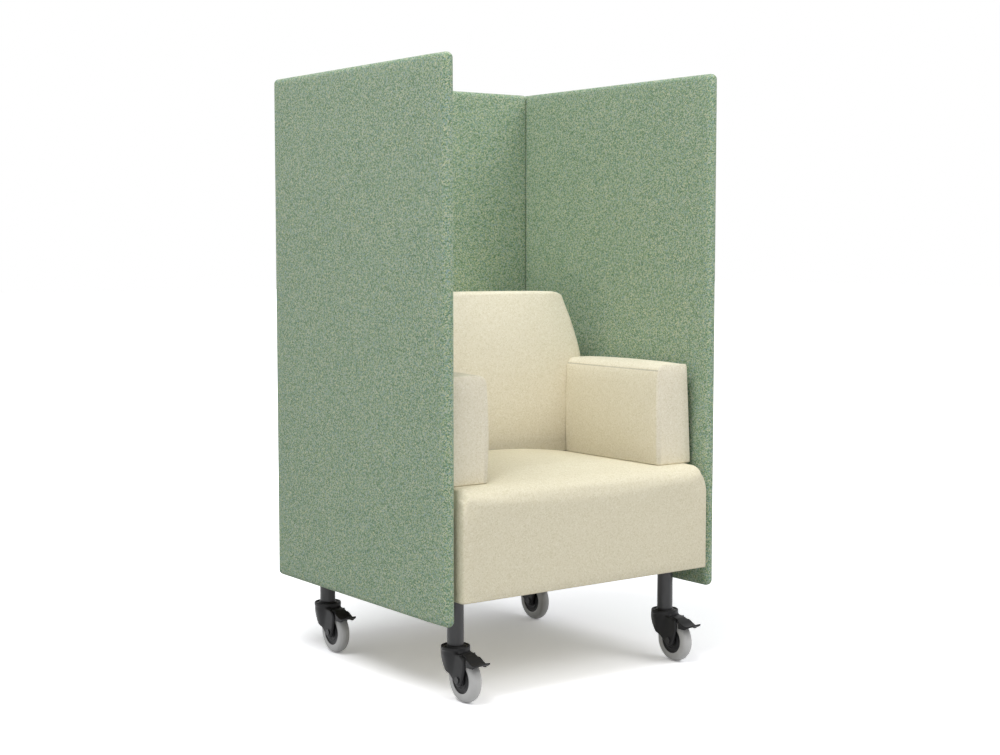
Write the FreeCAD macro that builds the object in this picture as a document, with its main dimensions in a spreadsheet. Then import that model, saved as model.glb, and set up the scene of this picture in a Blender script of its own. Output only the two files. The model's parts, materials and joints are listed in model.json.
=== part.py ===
"""Acoustic high back lounge chair on four braked castors, as a parametric document."""
import FreeCAD, Part
import math
import os
import re
import Sketcher

doc = FreeCAD.newDocument("acoustic_lounge_chair")
Vector = FreeCAD.Vector

# Driving sizes in millimetres: name, value, what it measures
SIZES = [
    ("overall_width", 756.0, "outside of one side screen to the outside of the other"),
    ("screen_top", 1350.0, "floor to the top of the screens"),
    ("screen_bottom", 175.0, "floor to the lower edge of the screens"),
    ("screen_depth", 716.0, "side screen, front to back"),
    ("screen_thick", 28.0, "upholstered screen"),
    ("screen_round", 11.0, "radius of the screen's edges"),
    ("board_thick", 16.0, "board inside a screen"),
    ("board_inset", 7.0, "screen edge to board edge"),
    ("screen_gap", 8.0, "spacer between seat block and screen"),
    ("seat_bottom", 222.0, "floor to the underside of the seat block"),
    ("seat_top", 460.0, "floor to the seat beside the crown"),
    ("seat_overhang", 12.0, "seat block in front of the screens"),
    ("seat_crown", 21.0, "rise of the seat between the arms"),
    ("seat_side_radius", 33.0, "rounding along the seat's upper sides"),
    ("seat_front_radius", 36.0, "rounding of the seat's upper front edge"),
    ("seat_corner_radius", 22.0, "rounding of the seat's upright front corners"),
    ("pad_wall", 20.0, "foam and cover outside the seat frame"),
    ("base_recess", 6.0, "base board above the seat's lower edge"),
    ("base_thick", 18.0, "base board"),
    ("rail_height", 99.0, "seat rails"),
    ("rail_thick", 22.0, "seat rails"),
    ("deck_thick", 15.0, "plywood deck on the rails"),
    ("arm_side_gap", 1.0, "arm's outer face inside the seat block's side"),
    ("arm_width", 102.0, "arm at its foot"),
    ("arm_lean", 12.0, "outer face drawn in at the top"),
    ("arm_top", 690.0, "floor to the top of an arm at its ends"),
    ("arm_crown", 4.0, "rise of the arm's top at mid length"),
    ("arm_bulge", 5.5, "swell of the arm's inner face"),
    ("arm_setback", 57.0, "seat front to arm front"),
    ("arm_length", 335.0, "arm, front to back"),
    ("arm_inner_radius", 29.0, "rounding of the arm's inner top edge"),
    ("arm_outer_radius", 9.0, "rounding of the arm's outer top edge"),
    ("arm_end_round", 5.0, "rounding at the ends of an arm"),
    ("core_thick", 22.0, "plywood core of an arm"),
    ("core_cover", 40.0, "arm padding beyond its core, at front and top"),
    ("back_top", 850.5, "floor to the top of the backrest"),
    ("back_bend_drop", 14.0, "arms' top down to where the backrest starts to lean"),
    ("back_lean", 10.0, "degrees that the upper backrest leans"),
    ("back_swell", 5.0, "swell of the backrest's front face"),
    ("back_inset_foot", 8.0, "seat side to backrest side, at the seat"),
    ("back_inset_low", 53.0, "seat side to backrest side, at the top of the arms"),
    ("back_inset_mid", 67.0, "seat side to backrest side, somewhat above the arms"),
    ("back_inset_high", 103.0, "seat side to backrest side, under its top corners"),
    ("back_swell_margin", 2.0, "flat strip between the swell and the rounded edges"),
    ("back_rear_run", 10.0, "rear of the backrest drawn in at its top corners"),
    ("back_corner_drop", 11.5, "height of the rounded top corners"),
    ("back_corner_run", 36.0, "width of the rounded top corners"),
    ("back_edge_radius", 9.0, "upright edges of the backrest"),
    ("back_frame_inset", 142.0, "seat side to the plywood box inside the backrest"),
    ("back_frame_thick", 15.0, "boards of the box"),
    ("back_frame_drop", 70.5, "backrest's top down to the top of the box"),
    ("back_foam", 62.0, "foam in front of the box"),
    ("back_rear_foam", 20.0, "foam behind the box"),
    ("post_diameter", 36.0, "leg tube"),
    ("post_wall", 2.0, "leg tube"),
    ("post_side_inset", 44.5, "seat side to the legs"),
    ("post_front_inset", 93.5, "seat front to the front legs"),
    ("post_rear_inset", 63.5, "seat rear to the rear legs"),
    ("plate_size", 100.0, "square mounting plate on a leg"),
    ("plate_margin", 24.0, "plate beyond the leg's axis, outwards"),
    ("plate_thick", 5.0, "mounting plate"),
    ("plate_screw_inset", 12.0, "plate edge to its screws"),
    ("castor_rise", 16.5, "wheel's top to the foot of the leg tube"),
    ("swivel_gap", 0.3, "leg tube to castor head"),
    ("head_diameter", 63.0, "castor head"),
    ("head_rim", 10.0, "height of the head's rim"),
    ("skirt_diameter", 61.0, "head below its rim"),
    ("skirt_drop", 15.0, "wheel's top down to the lower end of the head"),
    ("fork_width", 42.0, "outside of the fork's cheeks"),
    ("fork_slot", 30.0, "room between the cheeks"),
    ("fork_rear_run", 24.0, "axle to the fork's rear edge"),
    ("fork_rear_high", 2.0, "wheel's top down to the upper end of the fork's rear edge"),
    ("fork_rear_low", 20.0, "wheel's top down to the lower end of the fork's rear edge"),
    ("fork_brow_run", 10.0, "axle to where the fork's rear meets the head"),
    ("fork_front_run", 24.0, "swivel axis to the fork's front edge"),
    ("fork_neck_drop", 5.0, "head's top down to the cheeks"),
    ("fork_boss", 14.0, "radius of the cheeks about the axle"),
    ("fork_brow_swell", 4.0, "curve between the fork's rear and the head"),
    ("fork_boss_swell", 8.5, "curve of the cheeks under the axle"),
    ("fork_throat_swell", 6.0, "curve of the cheeks' front edge"),
    ("trail", 36.0, "swivel axis to wheel axle"),
    ("wheel_diameter", 100.0, "over the tread"),
    ("wheel_room", 2.0, "fork clear of the tread"),
    ("tyre_width", 26.0, "tyre"),
    ("tread_drop", 8.0, "curve of the tread"),
    ("hub_diameter", 61.0, "dark hub disc"),
    ("hub_width", 23.0, "hub disc at its rim"),
    ("hub_dish", 2.5, "recess in the hub's face"),
    ("dish_outer", 40.0, "diameter of the recess at the hub's face"),
    ("dish_inner", 36.0, "diameter of the recess at its floor"),
    ("boss_outer", 22.0, "diameter of the hub's boss at the recess"),
    ("boss_end", 18.0, "diameter of the hub's boss at its end"),
    ("boss_gap", 0.3, "hub's boss clear of the cheeks"),
    ("axle_diameter", 8.0, "axle"),
    ("axle_cap", 14.0, "diameter of the axle's caps"),
    ("cap_height", 2.5, "axle cap"),
    ("stem_diameter", 12.0, "swivel stem"),
    ("stem_rise", 35.5, "foot of the leg tube to the top of the stem"),
    ("stem_head", 18.0, "diameter of the stem's flange"),
    ("stem_flange", 3.6, "thickness of the stem's flange"),
    ("stem_play", 0.2, "stem's flange below the bearing"),
    ("bearing_diameter", 28.0, "swivel bearing"),
    ("bearing_height", 14.5, "swivel bearing"),
    ("bore_drop", 40.0, "wheel's top down to the start of the bearing's bore"),
    ("roof_thick", 3.2, "castor head above its bearing"),
    ("roof_play", 2.0, "stem clear of the castor head's roof"),
    ("socket_height", 50.0, "bush in the foot of a leg tube"),
    ("pedal_pivot_run", 6.0, "axle to pedal pivot"),
    ("pedal_pivot_rise", 6.0, "wheel's top to pedal pivot"),
    ("pedal_pin", 5.0, "diameter of the pedal's pivot stubs"),
    ("pedal_reach", 74.5, "axle to pedal tip"),
    ("pedal_tip_drop", 5.0, "wheel's top down to the pedal's tip"),
    ("pedal_lip_run", 4.0, "pedal tip to the top of its lip"),
    ("pedal_lip_drop", 3.0, "wheel's top down to the top of the lip"),
    ("pedal_trough_run", 13.0, "pedal tip to the trough behind its lip"),
    ("pedal_trough_drop", 7.0, "wheel's top down to the trough"),
    ("pedal_chin_run", 9.0, "pedal tip to the lower edge of its front"),
    ("pedal_chin_drop", 13.0, "wheel's top down to the front's lower edge"),
    ("pedal_bend_run", 42.0, "axle to the bend in the tread plate"),
    ("pedal_bend_rise", 0.5, "wheel's top to the bend in the tread plate"),
    ("pedal_knee_run", 24.0, "axle to the tread plate's upper bend"),
    ("pedal_knee_rise", 6.5, "wheel's top to the upper bend"),
    ("pedal_heel_run", 2.0, "axle to the heel, towards the swivel axis"),
    ("pedal_heel_rise", 10.5, "wheel's top to the heel"),
    ("pedal_wall_run", 30.0, "axle to the walls' upright edge"),
    ("pedal_wall_toe", 48.0, "axle to the far end of the walls' lower edge"),
    ("pedal_wall_rise", 4.5, "wheel's top to the walls' upper corner"),
    ("pedal_wall_drop", 16.0, "wheel's top down to the walls' lower edge"),
    ("pedal_room_drop", 12.0, "wheel's top down to the floor of the pedal's slot"),
    ("pedal_gap", 0.5, "pedal clear of the fork's cheeks, and its slot of the head"),
    ("shoe_rise", 2.0, "wheel's top to the shoe of the pedal"),
    ("shoe_length", 14.0, "axle to the shoe's rear edge"),
    ("shoe_step_run", 17.0, "axle to where the shoe comes level with the wheel's top"),
    ("shoe_toe_run", 22.0, "axle to the shoe's toe"),
    ("shoe_toe_drop", 2.0, "wheel's top down to the shoe's toe"),
    ("shoe_throat_run", 25.0, "axle to where the shoe meets the tread plate"),
    ("shoe_throat_rise", 5.0, "wheel's top to where the shoe meets the tread plate"),
    ("pedal_width", 37.0, "pedal tread"),
    ("pedal_skirt", 4.0, "walls of the pedal"),
    ("pedal_plate", 3.0, "tread plate of the pedal"),
    ("bolt_diameter", 8.0, "screen bolts"),
    ("bolt_head", 14.0, "diameter of a screen bolt's head"),
    ("bolt_head_height", 6.0, "head of a screen bolt"),
    ("bolt_front_inset", 155.5, "front of the seat frame to the front side bolts"),
    ("bolt_rear_inset", 116.5, "rear of the seat frame to the rear side bolts"),
    ("bolt_back_inset", 122.0, "side of the seat frame to the lower back bolts"),
    ("bolt_box_inset", 70.0, "side of the backrest's box to the upper back bolts"),
    ("bolt_box_drop", 60.0, "box top down to the upper back bolts"),
    ("spacer_diameter", 30.0, "spacer behind a screen"),
    ("screw_diameter", 5.0, "wood screws"),
    ("screw_head", 9.0, "diameter of a wood screw's head"),
    ("screw_head_height", 3.0, "head of a wood screw"),
    ("screw_tip_gap", 2.0, "tips of the plates' screws below the base board's top"),
    ("arm_screw_length", 60.0, "screws into the arms' cores"),
    ("corner_screw_length", 70.0, "screws between side and back screens"),
    ("corner_low_rise", 245.0, "screens' lower edge to the lower corner screws"),
    ("corner_high_drop", 170.0, "screens' upper edge down to the upper corner screws"),
    ("running_gap", 0.05, "radial play of axles, stems and screws"),
    ("fabric_gap", 0.3, "upholstery to its neighbours"),
    ("end_crown", 1.0, "rise of the seat's and arms' tops at their ends"),
    ("overcut", 1.0, "cutting bodies beyond the faces that they open"),
]

sheet = doc.addObject("Spreadsheet::Sheet", "sizes")
for row, (name, number, note) in enumerate(SIZES, start=1):
    sheet.set(f"A{row}", name)
    sheet.set(f"B{row}", str(number))
    sheet.set(f"C{row}", note)
    sheet.setAlias(f"B{row}", name)
doc.recompute()
ALIASES = {name for name, number, note in SIZES}

# Places worked out from the sizes, as formulas that the objects are bound to
PLACES = {
    "rear_face": "(screen_depth + seat_overhang - post_front_inset + trail + pedal_reach) / 2",
    "screen_front": "rear_face - screen_depth",
    "screen_in": "overall_width / 2 - screen_thick",
    "back_screen_front": "rear_face - screen_thick",
    "seat_half": "screen_in - screen_gap",
    "seat_front": "screen_front - seat_overhang",
    "seat_rear": "back_screen_front - screen_gap",
    "frame_half": "seat_half - pad_wall",
    "frame_front": "seat_front + pad_wall",
    "frame_rear": "seat_rear - pad_wall",
    "base_bottom": "seat_bottom + base_recess",
    "base_top": "base_bottom + base_thick",
    "rail_top": "base_top + rail_height",
    "deck_top": "rail_top + deck_thick",
    "arm_front": "seat_front + arm_setback",
    "arm_rear": "arm_front + arm_length",
    "back_front": "arm_rear + fabric_gap",
    "arm_inner": "seat_half - arm_side_gap - arm_width",
    "core_in": "arm_inner + (arm_width - core_thick) / 2",
    "back_bend": "arm_top - back_bend_drop",
    "back_frame_half": "seat_half - back_frame_inset",
    "back_frame_top": "back_top - back_frame_drop",
    "box_front": "back_front + back_foam",
    "box_rear": "seat_rear - back_rear_foam",
    "post_half": "seat_half - post_side_inset",
    "post_front": "seat_front + post_front_inset",
    "post_rear": "seat_rear - post_rear_inset",
    "axle_height": "wheel_diameter / 2",
    "wheel_top": "wheel_diameter",
    "castor_height": "wheel_top + castor_rise",
    "stem_top": "castor_height + stem_rise",
    "skirt_bottom": "wheel_top - skirt_drop",
    "bore_low": "wheel_top - bore_drop",
    "pivot_height": "wheel_top + pedal_pivot_rise",
    "head_top": "castor_height - swivel_gap",
    "bearing_top": "head_top - roof_thick",
    "side_bolt_height": "(base_top + rail_top) / 2",
    "upper_bolt_height": "back_frame_top - bolt_box_drop",
    "corner_low": "screen_bottom + corner_low_rise",
    "corner_high": "screen_top - corner_high_drop",
}


def bound(text):
    """Formula in the document's own words: places are opened up, sizes get the sheet's name."""
    while any(word in PLACES for word in re.findall(r"[a-z_]+", text)):
        text = re.sub(r"[a-z_]+", lambda m: f"({PLACES[m[0]]})" if m[0] in PLACES else m[0], text)
    return re.sub(r"[a-z_]+", lambda m: f"sizes.{m[0]}" if m[0] in ALIASES else m[0], text)


def value(text):
    """Number that a formula gives with the sheet's present sizes."""
    result = sheet.evalExpression(bound(str(text)))
    return float(getattr(result, "Value", result))


def bind(obj, **formulas):
    """Ties properties of an object to formulas; x, y and z place it."""
    for key, formula in formulas.items():
        path = f"Placement.Base.{key}" if key in ("x", "y", "z") else key
        obj.setExpression(path, bound(str(formula)))


def block(name, low, high):
    """Box between two corners, each given as three formulas."""
    box = doc.addObject("Part::Box", name)
    lengths = [f"({b}) - ({a})" for a, b in zip(low, high)]
    bind(box, Length=lengths[0], Width=lengths[1], Height=lengths[2], x=low[0], y=low[1], z=low[2])
    return box


def rod(name, start, radius, length, axis="z"):
    """Cylinder from a start point along +X, +Y or +Z."""
    cylinder = doc.addObject("Part::Cylinder", name)
    turn = {"z": (Vector(0, 0, 1), 0), "x": (Vector(0, 1, 0), 90), "y": (Vector(1, 0, 0), -90)}[axis]
    cylinder.Placement = FreeCAD.Placement(Vector(), FreeCAD.Rotation(*turn))
    bind(cylinder, Radius=radius, Height=length, x=start[0], y=start[1], z=start[2])
    return cylinder


def group(name, parts):
    """Several solids as one object."""
    joined = doc.addObject("Part::MultiFuse", name)
    joined.Shapes = parts
    return joined


def compound(name, parts):
    """Separate solids of one kind kept together."""
    kept = doc.addObject("Part::Compound", name)
    kept.Links = parts
    return kept


def cut(name, base, tools):
    """Base with every tool taken out of it."""
    result = doc.addObject("Part::Cut", name)
    result.Base = base
    result.Tool = tools[0] if len(tools) == 1 else group(name + "_tools", tools)
    return result


def sketch_on(body, role, name, points, arcs=()):
    """Closed outline through points given as formulas; arcs maps a side to its bulge formula."""
    sketch = body.newObject("Sketcher::SketchObject", name)
    plane = [item for item in body.Origin.OriginFeatures if item.Role == role][0]
    sketch.AttachmentSupport = [(plane, "")]
    sketch.MapMode = "FlatFace"
    bulges = dict(arcs)
    corners = [Vector(value(across), value(up), 0) for across, up in points]
    for index, start in enumerate(corners):
        end = corners[(index + 1) % len(corners)]
        if index not in bulges:
            sketch.addGeometry(Part.LineSegment(start, end), False)
            continue
        chord = end - start
        side = Vector(chord.y, -chord.x, 0).normalize()
        middle = (start + end) * 0.5 + side * value(bulges[index])
        sketch.addGeometry(Part.Arc(start, middle, end), False)
    for index, (across, up) in enumerate(points):
        before = (index - 1) % len(points)
        # An arc drawn clockwise is stored with its ends swapped
        first = 1 if near(sketch, index, 1, corners[index]) else 2
        last = 2 if near(sketch, before, 2, corners[index]) else 1
        sketch.addConstraint(Sketcher.Constraint("Coincident", before, last, index, first))
        for kind, formula in (("DistanceX", across), ("DistanceY", up)):
            number = sketch.addConstraint(
                Sketcher.Constraint(kind, -1, 1, index, first, value(formula)))
            label = f"{kind[-1].lower()}_{index}"
            sketch.renameConstraint(number, label)
            sketch.setExpression(f"Constraints.{label}", bound(str(formula)))
    for index, bulge in bulges.items():
        (x0, y0), (x1, y1) = points[index], points[(index + 1) % len(points)]
        half_chord = f"((({x1}) - ({x0})) ^ 2 + (({y1}) - ({y0})) ^ 2) / 4"
        radius = f"({half_chord} + ({bulge}) ^ 2) / (2 * abs({bulge}))"
        number = sketch.addConstraint(Sketcher.Constraint("Radius", index, value(radius)))
        sketch.renameConstraint(number, f"radius_{index}")
        sketch.setExpression(f"Constraints.radius_{index}", bound(radius))
    return sketch


TOLERANCE = 1e-6


def near(sketch, geometry, end, place):
    """Whether an end of a sketch line lies at a place."""
    return (sketch.getPoint(geometry, end) - place).Length < TOLERANCE


def plate(name, role, points, width, arcs=(), place=("0", "0", "0")):
    """Outline thickened evenly to both sides of its plane."""
    body = doc.addObject("PartDesign::Body", name)
    pad = body.newObject("PartDesign::Pad", name + "_pad")
    pad.Profile = sketch_on(body, role, name + "_outline", points, arcs)
    pad.Midplane = True
    bind(pad, Length=width)
    bind(body, x=place[0], y=place[1], z=place[2])
    return body


def turned(name, points, arcs=(), place=("0", "0", "0")):
    """Outline of length and radius turned about the X axis."""
    body = doc.addObject("PartDesign::Body", name)
    sketch = sketch_on(body, "XY_Plane", name + "_outline", points, arcs)
    turn = body.newObject("PartDesign::Revolution", name + "_turn")
    turn.Profile = sketch
    turn.ReferenceAxis = (sketch, ["H_Axis"])
    turn.Angle = 360
    bind(body, x=place[0], y=place[1], z=place[2])
    return body


def rounded(name, low, high, radius, along=None):
    """Board between two corners, with all its edges rounded alike or only those along an axis."""
    half = [f"(({b}) - ({a})) / 2" for a, b in zip(low, high)]
    middle = [f"(({a}) + ({b})) / 2" for a, b in zip(low, high)]
    outline = [(f"-{half[1]}", f"-{half[2]}"), (half[1], f"-{half[2]}"),
               (half[1], half[2]), (f"-{half[1]}", half[2])]
    body = plate(name, "YZ_Plane", outline, f"2 * {half[0]}", place=middle)
    doc.recompute()
    edges = []
    for number, edge in enumerate(body.Shape.Edges, start=1):
        run = edge.Vertexes[1].Point - edge.Vertexes[0].Point
        if along is None or abs(run.dot(along)) > 0.9 * run.Length:
            edges.append(f"Edge{number}")
    pad = body.Tip
    fillet = body.newObject("PartDesign::Fillet", name + "_fillet")
    fillet.Base = (pad, edges)
    bind(fillet, Radius=radius)
    return body


def soft(name, sections):
    """Upholstered block lofted straight from section to section."""
    shape = Part.makeLoft(sections, True, True)
    feature = doc.addObject("Part::Feature", name)
    feature.Shape = shape
    return feature


def wire(steps):
    """Closed wire: each step is (start, end) for a line or (start, middle, end) for an arc."""
    edges = []
    for step in steps:
        curve = Part.LineSegment(*step) if len(step) == 2 else Part.Arc(*step)
        edges.append(curve.toShape())
    return Part.Wire(edges)


def quarter(centre, start, end):
    """Middle point of the quarter turn about a centre."""
    out = (start + end) * 0.5 - centre
    return centre + out * ((start - centre).Length / out.Length)


finished = {}


def finish(name, obj):
    """Records an object as a finished piece under its node's name."""
    obj.Label = name
    finished[name] = obj
    return obj


def seat_section(y, inset, shoulder, crown):
    """Seat block across the chair: flat beside the arms, crowned between them, rounded sides."""
    half = value("seat_half") - inset
    low = value("seat_bottom")
    radius = value("seat_side_radius")
    span = value("arm_inner")
    right = [Vector(half, y, low), Vector(half, y, shoulder - radius),
             Vector(half - radius, y, shoulder), Vector(span, y, shoulder)]
    left = [Vector(-point.x, y, point.z) for point in right]
    centre = Vector(half - radius, y, shoulder - radius)
    bend = quarter(centre, right[1], right[2])
    return wire([
        (left[0], right[0]),
        (right[0], right[1]),
        (right[1], bend, right[2]),
        (right[2], right[3]),
        (right[3], Vector(0, y, shoulder + crown), left[3]),
        (left[3], left[2]),
        (left[2], Vector(-bend.x, y, bend.z), left[1]),
        (left[1], left[0]),
    ])


def seat_shape():
    """Seat block from its rounded front to its flat rear."""
    front, rear = value("seat_front"), value("seat_rear")
    roll, corner = value("seat_front_radius"), value("seat_corner_radius")
    top, crown = value("seat_top"), value("seat_crown")
    low_crown = value("end_crown")
    sections = []
    for degrees in (0, 20, 40, 65, 90):
        angle = math.radians(degrees)
        run = roll * (1 - math.cos(angle))
        missing = max(corner - run, 0.0)
        inset = corner - math.sqrt(corner ** 2 - missing ** 2)
        shoulder = top - roll * (1 - math.sin(angle))
        sections.append(seat_section(front + run, inset, shoulder, low_crown))
    reach = value("arm_front") - front
    for share, rise in ((1.0, 0.2), (1.7, 0.55), (2.6, 0.85), (4.0, 1.0), (8.0, 1.0)):
        sections.append(seat_section(front + roll + (reach - roll) * share, 0, top, crown * rise))
    sections.append(seat_section(rear, 0, top, crown))
    return sections


def arm_section(side, y, inset, crown):
    """Arm across the chair: swollen inner face, round inner top edge, leaning outer face."""
    foot, top = value("seat_top + fabric_gap"), value("arm_top") - inset
    inner = value("arm_inner") + inset
    outer = value("arm_inner + arm_width") - inset
    lean = value("arm_lean")
    inner_radius, outer_radius = value("arm_inner_radius"), value("arm_outer_radius")
    shoulder = outer - lean

    def at(x, z):
        return Vector(side * x, y, z)

    outer_turn = [at(shoulder, top - outer_radius), at(shoulder - outer_radius, top)]
    inner_turn = [at(inner + inner_radius, top), at(inner, top - inner_radius)]
    ridge = at((inner + inner_radius + shoulder - outer_radius) / 2, top + crown)
    swell = at(inner - value("arm_bulge"), (foot + top - inner_radius) / 2)
    return wire([
        (at(inner, foot), at(outer, foot)),
        (at(outer, foot), outer_turn[0]),
        (outer_turn[0], quarter(at(shoulder - outer_radius, top - outer_radius), *outer_turn),
         outer_turn[1]),
        (outer_turn[1], ridge, inner_turn[0]),
        (inner_turn[0], quarter(at(inner + inner_radius, top - inner_radius), *inner_turn),
         inner_turn[1]),
        (inner_turn[1], swell, at(inner, foot)),
    ])


def arm_shape(side):
    """Arm from front to back, drawn in a little at both ends."""
    front, rear, ends = value("arm_front"), value("arm_rear"), value("arm_end_round")
    crown, low_crown = value("arm_crown"), value("end_crown")
    length = rear - front
    stations = [(0.0, ends, low_crown), (0.3 * ends, 0.4 * ends, low_crown), (ends, 0.0, low_crown),
                (0.25 * length, 0.0, 0.8 * crown), (0.5 * length, 0.0, crown),
                (0.75 * length, 0.0, 0.8 * crown), (length, 0.0, low_crown)]
    return [arm_section(side, front + run, inset, rise) for run, inset, rise in stations]


def back_half_width(z):
    """Half width of the backrest: a line up to the arms' top, then a parabola through three widths."""
    heights = [value("arm_top"), value("arm_top + (back_top - arm_top) * 0.4"),
               value("back_top - back_corner_drop")]
    halves = [value(f"seat_half - back_inset_{level}") for level in ("low", "mid", "high")]
    if z < heights[0]:
        share = (heights[0] - z) / (heights[0] - value("seat_top"))
        return halves[0] + share * (value("seat_half - back_inset_foot") - halves[0])
    total = 0.0
    for i, half in enumerate(halves):
        others = [height for j, height in enumerate(heights) if j != i]
        share = math.prod((z - height) / (heights[i] - height) for height in others)
        total += half * share
    return total


def back_section(z, half, front, rear, swell):
    """Backrest from above: front swollen between the arms, rounded upright edges, flat rear."""
    radius = value("back_edge_radius")
    span = min(value("arm_inner"), half - radius - value("back_swell_margin"))
    swollen = Vector(span, front, z)
    front_right = [Vector(half - radius, front, z), Vector(half, front + radius, z)]
    rear_right = [Vector(half, rear - radius, z), Vector(half - radius, rear, z)]
    front_bend = quarter(Vector(half - radius, front + radius, z), *front_right)
    rear_bend = quarter(Vector(half - radius, rear - radius, z), *rear_right)

    def mirrored(point):
        return Vector(-point.x, point.y, point.z)

    return wire([
        (mirrored(swollen), Vector(0, front - swell, z), swollen),
        (swollen, front_right[0]),
        (front_right[0], front_bend, front_right[1]),
        (front_right[1], rear_right[0]),
        (rear_right[0], rear_bend, rear_right[1]),
        (rear_right[1], mirrored(rear_right[1])),
        (mirrored(rear_right[1]), mirrored(rear_bend), mirrored(rear_right[0])),
        (mirrored(rear_right[0]), mirrored(front_right[1])),
        (mirrored(front_right[1]), mirrored(front_bend), mirrored(front_right[0])),
        (mirrored(front_right[0]), mirrored(swollen)),
    ])


BACK_EASE = 0.368


def back_shape():
    """Backrest: upright behind the arms, then leaning back to a top with rounded corners."""
    foot, top = value("seat_top + fabric_gap"), value("back_top")
    bend, drop, run = value("back_bend"), value("back_corner_drop"), value("back_corner_run")
    corner = top - drop
    ease = (corner - bend) * BACK_EASE
    slope = math.tan(math.radians(value("back_lean")))
    front, rear, swell = value("back_front"), value("seat_rear"), value("back_swell")

    def face(z):
        """Front face: upright, a parabola over the ease, then straight."""
        above = z - bend
        if above <= 0:
            return front
        if above < ease:
            return front + slope * above ** 2 / (2 * ease)
        return front + slope * (above - ease / 2)

    sections = []
    rear_run = value("back_rear_run")
    over_crown = value("seat_top + seat_crown + overcut")
    for z in (foot, over_crown, (foot + bend) / 2, bend, bend + ease / 2, bend + ease,
              (bend + ease + corner) / 2, corner):
        low = 0.0 if z < corner else rear_run / 2
        lift = 0.04 if z <= over_crown else 1.0
        sections.append(back_section(z, back_half_width(z), face(z), rear - low, swell * lift))
    for share in (0.45, 0.8, 1.0):
        angle = math.acos(1 - share)
        half = back_half_width(corner) - run * (1 - math.sqrt(1 - share ** 2 * 0.999))
        sink = value("back_edge_radius") * (1 - math.cos(angle)) * 0.8
        z = corner + drop * share
        behind = rear - rear_run * (0.5 + 2 * share)
        sections.append(back_section(z, half, face(z) + sink, behind, swell))
    return sections


def screens():
    """Two side screens and the back screen between them, each a board in padded fabric."""
    edge, inset = "screen_round", "board_inset"
    lowest, highest = "screen_bottom", "screen_top"
    skin = "(screen_thick - board_thick) / 2"
    shells = {
        "screen_left": (("-overall_width / 2", "screen_front", lowest),
                        ("-screen_in", "rear_face", highest)),
        "screen_right": (("screen_in", "screen_front", lowest),
                         ("overall_width / 2", "rear_face", highest)),
        "screen_back": (("-screen_in", "back_screen_front", lowest),
                        ("screen_in", "rear_face", highest)),
    }
    for name, (low, high) in shells.items():
        flat = 1 if name == "screen_back" else 0
        margin = [skin if axis == flat else inset for axis in range(3)]
        inner_low = [f"({a}) + {m}" for a, m in zip(low, margin)]
        inner_high = [f"({b}) - ({m})" for b, m in zip(high, margin)]
        across = Vector(1, 0, 0) if name == "screen_back" else None
        outer = rounded(name + "_form", low, high, edge, across)
        holes = bolt_holes(name + "_hole") + corner_holes(name + "_corner")
        core = block(name + "_cavity", inner_low, inner_high)
        finish(name, cut(name + "_cover", outer, [core] + holes))
        blank = block(name + "_blank", inner_low, inner_high)
        finish(name + "_board", cut(name + "_panel", blank, holes))


BOLTS = {
    "side_front": ("x", "frame_front + bolt_front_inset", "side_bolt_height"),
    "side_rear": ("x", "frame_rear - bolt_rear_inset", "side_bolt_height"),
    "back_low": ("y", "frame_half - bolt_back_inset", "side_bolt_height"),
    "back_high": ("y", "back_frame_half - bolt_box_inset", "upper_bolt_height"),
}


def bolt_line(key, side, radius, start, end, name):
    """Cylinder on a screen bolt's axis, from start to end measured outwards from the chair."""
    axis, across, height = BOLTS[key]
    length = f"({end}) - ({start})"
    if axis == "y":
        return rod(name, (f"{side} * ({across})", start, height), radius, length, "y")
    begin = start if side > 0 else f"-({end})"
    return rod(name, (begin, across, height), radius, length, "x")


def bolt_ends(key):
    """Inner and outer end of a bolt's shank: in its rail or box, and in the screen's board."""
    skin = "(screen_thick - board_thick) / 2"
    if BOLTS[key][0] == "x":
        return "frame_half - rail_thick", f"overall_width / 2 - {skin}"
    inner = "frame_rear - rail_thick" if key == "back_low" else "box_rear - back_frame_thick"
    return inner, f"rear_face - {skin}"


def bolt_holes(name):
    """Clearance holes for the eight screen bolts."""
    holes = []
    for key in BOLTS:
        start, end = bolt_ends(key)
        for side in (-1, 1):
            label = f"{name}_{key}_{'left' if side < 0 else 'right'}"
            holes.append(bolt_line(key, side, "bolt_diameter / 2 + running_gap",
                                   f"{start} - overcut", end, label))
    return holes


def corner_holes(name):
    """Holes for the screws that join the side screens to the back screen."""
    return [corner_line(side, height, "screw_diameter / 2 + running_gap", f"{name}_{side}_{height}")
            for side in (-1, 1) for height in CORNER_HEIGHTS]


CORNER_HEIGHTS = ("corner_low", "corner_high")


def corner_line(side, height, radius, name):
    """Corner screw's axis: from the side board's outer face into the back board's edge."""
    outer = "overall_width / 2 - (screen_thick - board_thick) / 2"
    begin = f"{outer} - corner_screw_length" if side > 0 else f"-({outer})"
    name = re.sub(r"[^a-z0-9_]", "m", name)
    return rod(name, (begin, "rear_face - screen_thick / 2", height), radius,
               "corner_screw_length", "x")


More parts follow.
